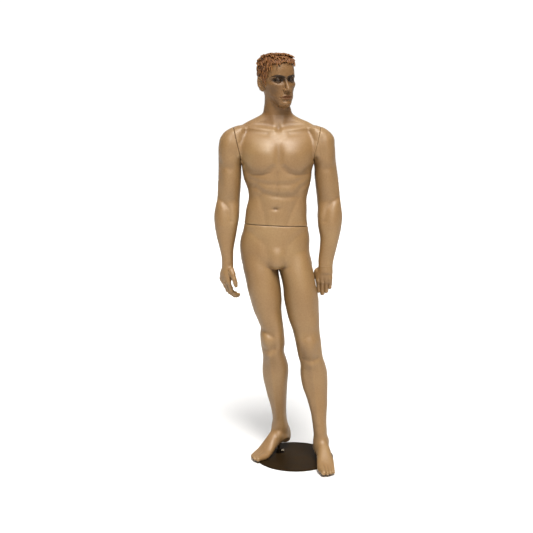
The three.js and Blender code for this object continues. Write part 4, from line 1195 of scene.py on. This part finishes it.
def board_material():
    m = Nodes("plywood")
    grain = m.noise(34.0, 6.0, 0.62, (1.0, 7.0, 7.0))
    base = m.ramp(grain, [(0.3, srgb(148, 110, 68)), (0.55, srgb(182, 146, 98)), (0.75, srgb(205, 172, 124))])
    m.link(base, m.shader.inputs["Base Color"])
    m.link(m.span(grain, 0.3, 0.7, 0.6, 0.75), m.shader.inputs["Roughness"])
    m.bump(grain, 0.2, 0.0008)
    return m.material


def felt_material():
    m = Nodes("felt")
    fuzz = m.noise(700.0, 4.0, 0.7)
    m.link(m.ramp(fuzz, [(0.3, srgb(20, 18, 16)), (0.7, srgb(52, 48, 44))]), m.shader.inputs["Base Color"])
    m.link(m.span(fuzz, 0.3, 0.7, 0.85, 1.0), m.shader.inputs["Roughness"])
    m.bump(fuzz, 0.6, 0.0015)
    return m.material


def eye_material():
    """Painted eye: the iris faces the object's own -Y."""
    m = Nodes("painted_eye")
    split = m.add("ShaderNodeSeparateXYZ")
    m.link(m.coordinates(), split.inputs["Vector"])
    length = m.add("ShaderNodeVectorMath", operation="LENGTH")
    flat = m.add("ShaderNodeCombineXYZ")
    m.link(split.outputs["X"], flat.inputs["X"])
    m.link(split.outputs["Z"], flat.inputs["Z"])
    m.link(flat.outputs["Vector"], length.inputs[0])
    radius = m.span(length.outputs["Value"], 0.0, 0.0126, 0.0, 1.0)
    rings = m.ramp(radius, [
        (0.0, srgb(10, 7, 5)), (0.24, srgb(12, 8, 6)), (0.29, srgb(60, 38, 20)), (0.44, srgb(46, 28, 15)),
        (0.54, srgb(14, 9, 6)), (0.60, srgb(40, 30, 20)), (0.9, srgb(30, 22, 15)),
    ])
    streak = m.noise(900.0, 2.0)
    m.link(m.mix(0.14, rings, m.ramp(streak, [(0.3, srgb(20, 12, 8)), (0.7, srgb(104, 80, 58))])),
           m.shader.inputs["Base Color"])
    m.link(m.span(streak, 0.3, 0.7, 0.32, 0.4), m.shader.inputs["Roughness"])
    return m.material


# ---------------------------------------------------------------- the figure
skin = skin_material("painted_skin")
face = skin_material("painted_face", head=True)
hair = hair_material()
steel = metal_material("zinc_steel", srgb(120, 120, 118), srgb(176, 174, 168), (0.34, 0.46))
chrome = metal_material("chrome", srgb(112, 104, 92), srgb(146, 138, 124), (0.3, 0.4))
dark = metal_material("dark_steel", srgb(58, 48, 36), srgb(96, 82, 62), (0.38, 0.5))
board = board_material()
WAIST = axes_at(WAIST_AT, WAIST_AXIS)


def stands_for(obj, body, slot, *nodes, material=None):
    """Paints the piece, hides the CAD nodes it replaces, and hangs it on the body it moves with."""
    if material is not None:
        obj.data.materials.clear()
        obj.data.materials.append(material)
    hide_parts(*nodes)
    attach(obj, body)
    return obj


def waist_plug(inset, z0, z1):
    """The inside of the waist between two heights over the seam, this far in from the skin."""
    plug = skin_piece("plug", lambda x, y, z: body_field(x, y, z) + inset,
                      axis(-262, (76, 5)), axis(-112, (112, 5)), axis(1040, (1140, 6)))
    return carve(plug, [("INTERSECT", slab(900, 900, z0, z1, WAIST))])


def lower_field(x, y, z):
    f = body_field(x, y, z, feet=True)
    # the left hand's own shape presses the thigh back, at rest and as it is drawn down off its pin
    x, y, z, f = (a.copy() for a in np.broadcast_arrays(x, y, z, f))
    near = (x > 64) & (x < 114) & (y > -60) & (y < 66) & (z > 728) & (z < 905)
    drawn = (0.0, 9.0, 18.0, 27.0)
    hand = np.minimum.reduce([hand_field(x[near], y[near], z[near] + down, "left") for down in drawn])
    f[near] = smax(f[near], 1.5 - hand, 5.0)
    return smax(f, over_plane(x, y, z, WAIST_AT, WAIST_AXIS), 5.0)


lower = skin_piece("lower_body_skin", lower_field,
                   axis(-266, (170, 2.9)), axis(-276, (-120, 2.6), (146, 2.9)),
                   axis(5, (150, 2.1), (900, 4.4), (1104, 3.2)))
carve(lower, [
    ("DIFFERENCE", slab(900, 900, 0.0, 400, WAIST)),
    ("DIFFERENCE", waist_plug(5.0, -30.0, 30.0)),
    ("DIFFERENCE", drum(WAIST_BORE, -74, 10, WAIST)),
    ("DIFFERENCE", drum(ROD_BORE, -5, 102, Matrix.Translation(Vector((*SPIGOT_AT, 0.0))))),
])
finish_skin(lower)
stands_for(lower, "lower_body", "skin", "lower_body_shell", material=skin)

plug = waist_plug(5.3, -24.0, -12.0)
carve(plug, [("DIFFERENCE", drum(21, -80, 10, WAIST))])
stands_for(finish_skin(plug, 30), "lower_body", "board", "pelvis_bulkhead", material=board)
plug.name = "pelvis_board"
plug = waist_plug(5.3, 5.7, 17.7)
carve(plug, [("DIFFERENCE", drum(28, -80, 80, WAIST))])
stands_for(finish_skin(plug, 30), "torso", "board", "torso_bulkhead", material=board)
plug.name = "torso_board"


def outside_seam(at):
    """The block outside a shoulder seam, above the armpit."""
    cutter = slab(600, 600, 0.0, 600, at)
    return carve(cutter, [("INTERSECT", slab(3000, 3000, ARMPIT_Z, 3000))])


def torso_cuts():
    """What is cut from the torso skin: the waist, the neck, and the seats of the fittings."""
    yield "DIFFERENCE", slab(900, 900, -400.0, 0.3, WAIST)
    yield "DIFFERENCE", slab(900, 900, NECK_Z - 0.1, 3000)
    yield "DIFFERENCE", waist_plug(5.0, -20.0, 31.0)
    for spec in SHOULDERS.values():
        at = axes_at(spec["at"], spec["out"])
        yield "DIFFERENCE", outside_seam(at)
        yield "DIFFERENCE", drum(SHOULDER_RECESS, -4.7, 6, at)
        yield "DIFFERENCE", drum(SOCKET_BORE, -80, 9, axes_at(spec["at"], spec["pull"]))
        for y in (-24, 24):
            yield "DIFFERENCE", drum(SCREW_BORE, -11, 0, at @ Matrix.Translation(Vector((0, y, 0))), 16)


def upper_field(x, y, z):
    """Trunk and the roots of the arms, without the legs."""
    f = trunk_only(x, y, z)
    for side in ("right", "left"):
        cap = smax(arm_field(x, y, z, side), ARMPIT_Z - z, 4.0)
        f = smin(f, cap, 16.0)
    xz, zz = x + 0.0 * z, z + 0.0 * x
    f = f - front_map(xz, zz) * smoothstep((4.0 - y) / 36.0)
    f = f - back_map(xz, zz) * smoothstep((y - 24.0) / 40.0)
    f = smax(f, 0.3 - over_plane(x, y, z, WAIST_AT, WAIST_AXIS), 5.0)
    for spec in SHOULDERS.values():
        open_below = 0.7 * np.maximum(ARMPIT_Z - z, 0.0)
        f = smax(f, over_plane(x, y, z, spec["at"], spec["out"]) - open_below, spec["edge"])
    return f


torso = skin_piece("torso_skin", upper_field,
                   axis(-318, (150, 2.8)), axis(-138, (146, 2.8)), axis(1060, (1590, 2.9)))
carve(torso, list(torso_cuts()))
stands_for(finish_skin(torso), "torso", "skin", "torso_shell", material=skin)

for side, spec in SHOULDERS.items():
    wx, wy = WRISTS[side]
    at = axes_at(spec["at"], spec["out"])
    wrist = Matrix.Translation(Vector((wx, wy, WRIST_Z)))

    def arm_outside_seam(x, y, z):
        seam_plane = over_plane(x, y, z, spec["at"], spec["out"])
        return smax(arm_and_hand(x, y, z, side), 0.3 - seam_plane, spec["edge"])

    def forearm_and_hand(x, y, z):
        return smin(arm_field(x, y, z, side), hand_field(x, y, z, side), 9.0)

    xs = axis(-380, (-190, 2.7)) if side == "right" else axis(22, (220, 2.7))
    arm = skin_piece(f"{side}_arm_skin", arm_outside_seam, xs, axis(-128, (126, 2.8)), axis(880, (1560, 3.4)))
    cuts = [
        ("INTERSECT", slab(3000, 3000, 0.3, 3000, at)), ("DIFFERENCE", slab(900, 900, 0, WRIST_Z)),
        ("DIFFERENCE", drum(SHOULDER_RECESS, -5, 5.0, at)), ("DIFFERENCE", drum(PEG_BORE, 0, 60, at)),
        ("DIFFERENCE", drum(WRIST_BORE, -5, 41, wrist)),
    ]
    for y in (-24, 24):
        cuts.append(("DIFFERENCE", drum(SCREW_BORE, 0, 11, at @ Matrix.Translation(Vector((0, y, 0))), 16)))
    carve(arm, cuts)
    stands_for(finish_skin(arm), f"{side}_arm", "skin", f"{side}_arm_shell", material=skin)

    xs = axis(-372, (-236, 1.35)) if side == "right" else axis(70, (200, 1.35))
    hand = skin_piece(f"{side}_hand_skin", forearm_and_hand,
                      xs, axis(-90, (96, 1.35)), axis(676, (920, 1.35)))
    carve(hand, [
        ("DIFFERENCE", slab(900, 900, WRIST_Z - 0.6, 3000)),
        ("DIFFERENCE", drum(WRIST_RECESS, -6, 5, wrist)),
        ("DIFFERENCE", drum(WRIST_BORE, -30, 5, wrist)),
    ])
    stands_for(finish_skin(hand), f"{side}_hand_body", "skin", f"{side}_hand", material=skin)


# ---------------------------------------------------------------- head
def head_and_neck(x, y, z):
    """The head with the neck under it, in the head's own frame."""
    f = head_field(x, y, z)
    m = HEAD_PLACE
    wx = m[0][0] * x + m[0][1] * y + m[0][2] * z + m[0][3]
    wy = m[1][0] * x + m[1][1] * y + m[1][2] * z + m[1][3]
    wz = m[2][0] * x + m[2][1] * y + m[2][2] * z + m[2][3]
    neck = loft(wx, wy, wz, NECK, 2.05, end=14.0)
    neck = smin(neck, loft(wx, wy, wz, TRUNK[-6:], 2.3, end=14.0), 20.0)
    neck = neck - neck_cords(wx, wz) * smoothstep((10.0 - wy) / 30.0)
    return smin(f, neck, 12.0)


head = skin_piece("head_skin", head_and_neck,
                  axis(-90, (-60, 2.0), (60, 1.15), (90, 2.0)), axis(-122, (-56, 1.1), (104, 2.2)),
                  axis(-64, (0, 2.4), (140, 1.15), (231, 3.0)), HEAD_PLACE)
carve(head, [("DIFFERENCE", slab(900, 900, 1400, NECK_Z))])
finish_skin(head)

# masks for the painted brows and lips, and for the painted shade round the eyes and in the cheek hollows
# mixed with dark eye make-up, in the head's own frame
back_in = np.array(HEAD_PLACE.inverted())
points = np.empty(len(head.data.vertices) * 3)
head.data.vertices.foreach_get("co", points)
points = points.reshape(-1, 3) * 1000.0 @ back_in[:3, :3].T + back_in[:3, 3]
hx, hy, hz = points.T
front_side = smoothstep((-40.0 - hy) / 20.0)
brow = np.zeros(len(hx))
for s in (-1, 1):
    line = 123.5 + 8.0 * np.exp(-0.5 * ((s * hx - 42) / 17.0) ** 2)
    thick = np.interp(s * hx, [7, 14, 40, 58], [2.0, 5.6, 4.8, 0.8])
    brow += smoothstep((thick - np.abs(hz - line)) / 2.0 + 0.5) * (s * hx > 7) * (s * hx < 58)
    r = np.hypot((hx - s * EYE_AT[0]) / 16.5, (hz - EYE_AT[2]) / 7.0)
    brow += 0.95 * np.exp(-0.5 * ((r - 0.98) / 0.16) ** 2) * smoothstep((hz - 108.0) / 4.0)
    brow += 0.45 * np.exp(-0.5 * ((r - 1.0) / 0.12) ** 2) * (hz <= 110)
brow = np.clip(brow, 0, 1) * front_side
# painted shade: dark round the eye sockets together with the eye make-up, and lighter in the cheek hollows
shade = np.zeros(len(hx))
for s in (-1, 1):
    shade += 2.0 * np.exp(-0.5 * (((hx - s * 28) / 15.5) ** 2 + ((hz - 116) / 8.0) ** 2))
    shade += 0.35 * np.exp(-0.5 * (((hx - s * 50) / 13.0) ** 2 + ((hz - 66) / 20.0) ** 2))
upper_edge = 49.5 - 0.0105 * hx ** 2 - 2.0 * np.exp(-0.5 * (hx / 2.8) ** 2)
lower_edge = 30.5 + 0.0155 * hx ** 2
lips = smoothstep((upper_edge - hz) / 2.0 + 0.5) * smoothstep((hz - lower_edge) / 2.5 + 0.5)
lips = lips * (np.abs(hx) < 27.5) * front_side
shade = np.clip(shade, 0, 1) * front_side
for name, values in (("brow", brow), ("shade", shade), ("lips", lips)):
    attribute = head.data.attributes.new(name, "FLOAT", "POINT")
    attribute.data.foreach_set("value", values.astype(np.float32))
stands_for(head, "torso", "skin", "head_shell", material=face)

eye_paint = eye_material()
for s, name in ((-1, "right_eye"), (1, "left_eye")):
    mesh = bpy.data.meshes.new(name)
    rings, sides = 24, 40
    verts = [(0, -0.013, 0)]
    for i in range(1, rings):
        a = math.pi * i / rings
        verts += [(0.013 * math.sin(a) * math.cos(b), -0.013 * math.cos(a), 0.013 * math.sin(a) * math.sin(b))
                  for b in (2 * math.pi * j / sides for j in range(sides))]
    verts.append((0, 0.013, 0))
    faces = [(0, 1 + j, 1 + (j + 1) % sides) for j in range(sides)]
    for i in range(rings - 2):
        a = 1 + i * sides
        b = a + sides
        faces += [(a + j, b + j, b + (j + 1) % sides, a + (j + 1) % sides) for j in range(sides)]
    last = 1 + (rings - 2) * sides
    faces += [(last + j, len(verts) - 1, last + (j + 1) % sides) for j in range(sides)]
    mesh.from_pydata(verts, [], faces)
    mesh.polygons.foreach_set("use_smooth", np.ones(len(faces), bool))
    eye = new_object(name, mesh)
    place = HEAD_PLACE @ Matrix.Translation(Vector((s * EYE_AT[0], EYE_AT[1], EYE_AT[2])))
    place.translation = place.translation * 0.001
    eye.matrix_world = place
    stands_for(eye, "torso", "skin", "head_shell", material=eye_paint)

hair_xs, hair_ys, hair_zs = axis(-98, (98, 1.5)), axis(-122, (124, 1.5)), axis(44, (250, 1.5))
hair_values = hair_grid(hair_xs, hair_ys, hair_zs)
hair_piece = skin_piece("hair_locks", hair_values, hair_xs, hair_ys, hair_zs, HEAD_PLACE)
stands_for(finish_skin(hair_piece, 80), "torso", "hair", "hair", material=hair)

# ---------------------------------------------------------------- base and fittings
for name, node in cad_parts.items():
    if node.hide_render:
        continue
    if name == "base_felt":
        material, slot = felt_material(), "felt"
    elif name == "base_plate":
        material, slot = plate_material(), "plate"
    elif name in ("foot_spigot", "spigot_collar", "spigot_washer", "foot_socket"):
        material, slot = dark, "steel"
    elif "wrist_pin" in name or name == "spigot_thumb_screw":
        material, slot = chrome, "chrome"
    else:
        material, slot = steel, "steel"
    node.data.materials.clear()
    node.data.materials.append(material)
    node.data.polygons.foreach_set("use_smooth", np.ones(len(node.data.polygons), bool))
    node.data.set_sharp_from_angle(angle=math.radians(32))

# ---------------------------------------------------------------- studio
floor = slab(120000, 120000, -20, 0)
floor.name = "floor"
paper = Nodes("studio_floor")
tone = paper.ramp(paper.noise(1.2, 3.0), [(0.3, (0.78, 0.78, 0.78, 1)), (0.7, (0.82, 0.82, 0.82, 1))])
paper.link(tone, paper.shader.inputs["Base Color"])
paper.set(Roughness=0.9)
floor.data.materials.append(paper.material)

scene = bpy.context.scene
world = bpy.data.worlds.new("studio")
scene.world = world
world.use_nodes = True
tree = world.node_tree
coordinate = tree.nodes.new("ShaderNodeTexCoord")
split = tree.nodes.new("ShaderNodeSeparateXYZ")
tree.links.new(coordinate.outputs["Generated"], split.inputs["Vector"])
total = tree.nodes.new("ShaderNodeMath")
# the light grows towards the far side and towards the top
sky = (("Y", 0.5, 0.88, 0.07, 1.03), ("Z", 0.35, 0.95, 0.0, 0.75))
for index, (axis_name, low, high, dim, bright) in enumerate(sky):
    fade = tree.nodes.new("ShaderNodeMapRange")
    fade.interpolation_type = "SMOOTHSTEP"
    for key, value in (("From Min", low), ("From Max", high), ("To Min", dim), ("To Max", bright)):
        fade.inputs[key].default_value = value
    tree.links.new(split.outputs[axis_name], fade.inputs["Value"])
    tree.links.new(fade.outputs["Result"], total.inputs[index])
tree.links.new(total.outputs["Value"], tree.nodes["Background"].inputs["Strength"])
tree.nodes["Background"].inputs["Color"].default_value = (1.0, 1.0, 1.0, 1.0)


def light(name, kind, power, direction):
    """A slightly warm light that shines along the direction."""
    data = bpy.data.lights.new(name, kind)
    data.energy = power
    data.color = (1.0, 0.98, 0.95)
    obj = bpy.data.objects.new(name, data)
    scene.collection.objects.link(obj)
    obj.rotation_euler = Vector(direction).to_track_quat("-Z", "Y").to_euler()
    return obj


key_place = Vector((0.3, -3.0, 3.2))
key = light("key", "AREA", 30.0, Vector((-0.1, 0.0, 1.2)) - key_place)
key.location = key_place
key.data.size = 1.2
sun = light("sun", "SUN", 4.3, (-0.06, 0.56, -0.83))
sun.data.angle = math.radians(34)

camera_data = bpy.data.cameras.new("camera")
camera_data.lens = 53.6
camera_data.sensor_width = 36.0
camera = bpy.data.objects.new("camera", camera_data)
scene.collection.objects.link(camera)
camera.location = (-0.131, -3.561, 1.367)
camera.rotation_euler = (math.radians(82.5), 0.0, 0.0)
scene.camera = camera
scene.view_settings.view_transform = "Standard"
scene.view_settings.look = "None"
scene.view_settings.gamma = 0.85
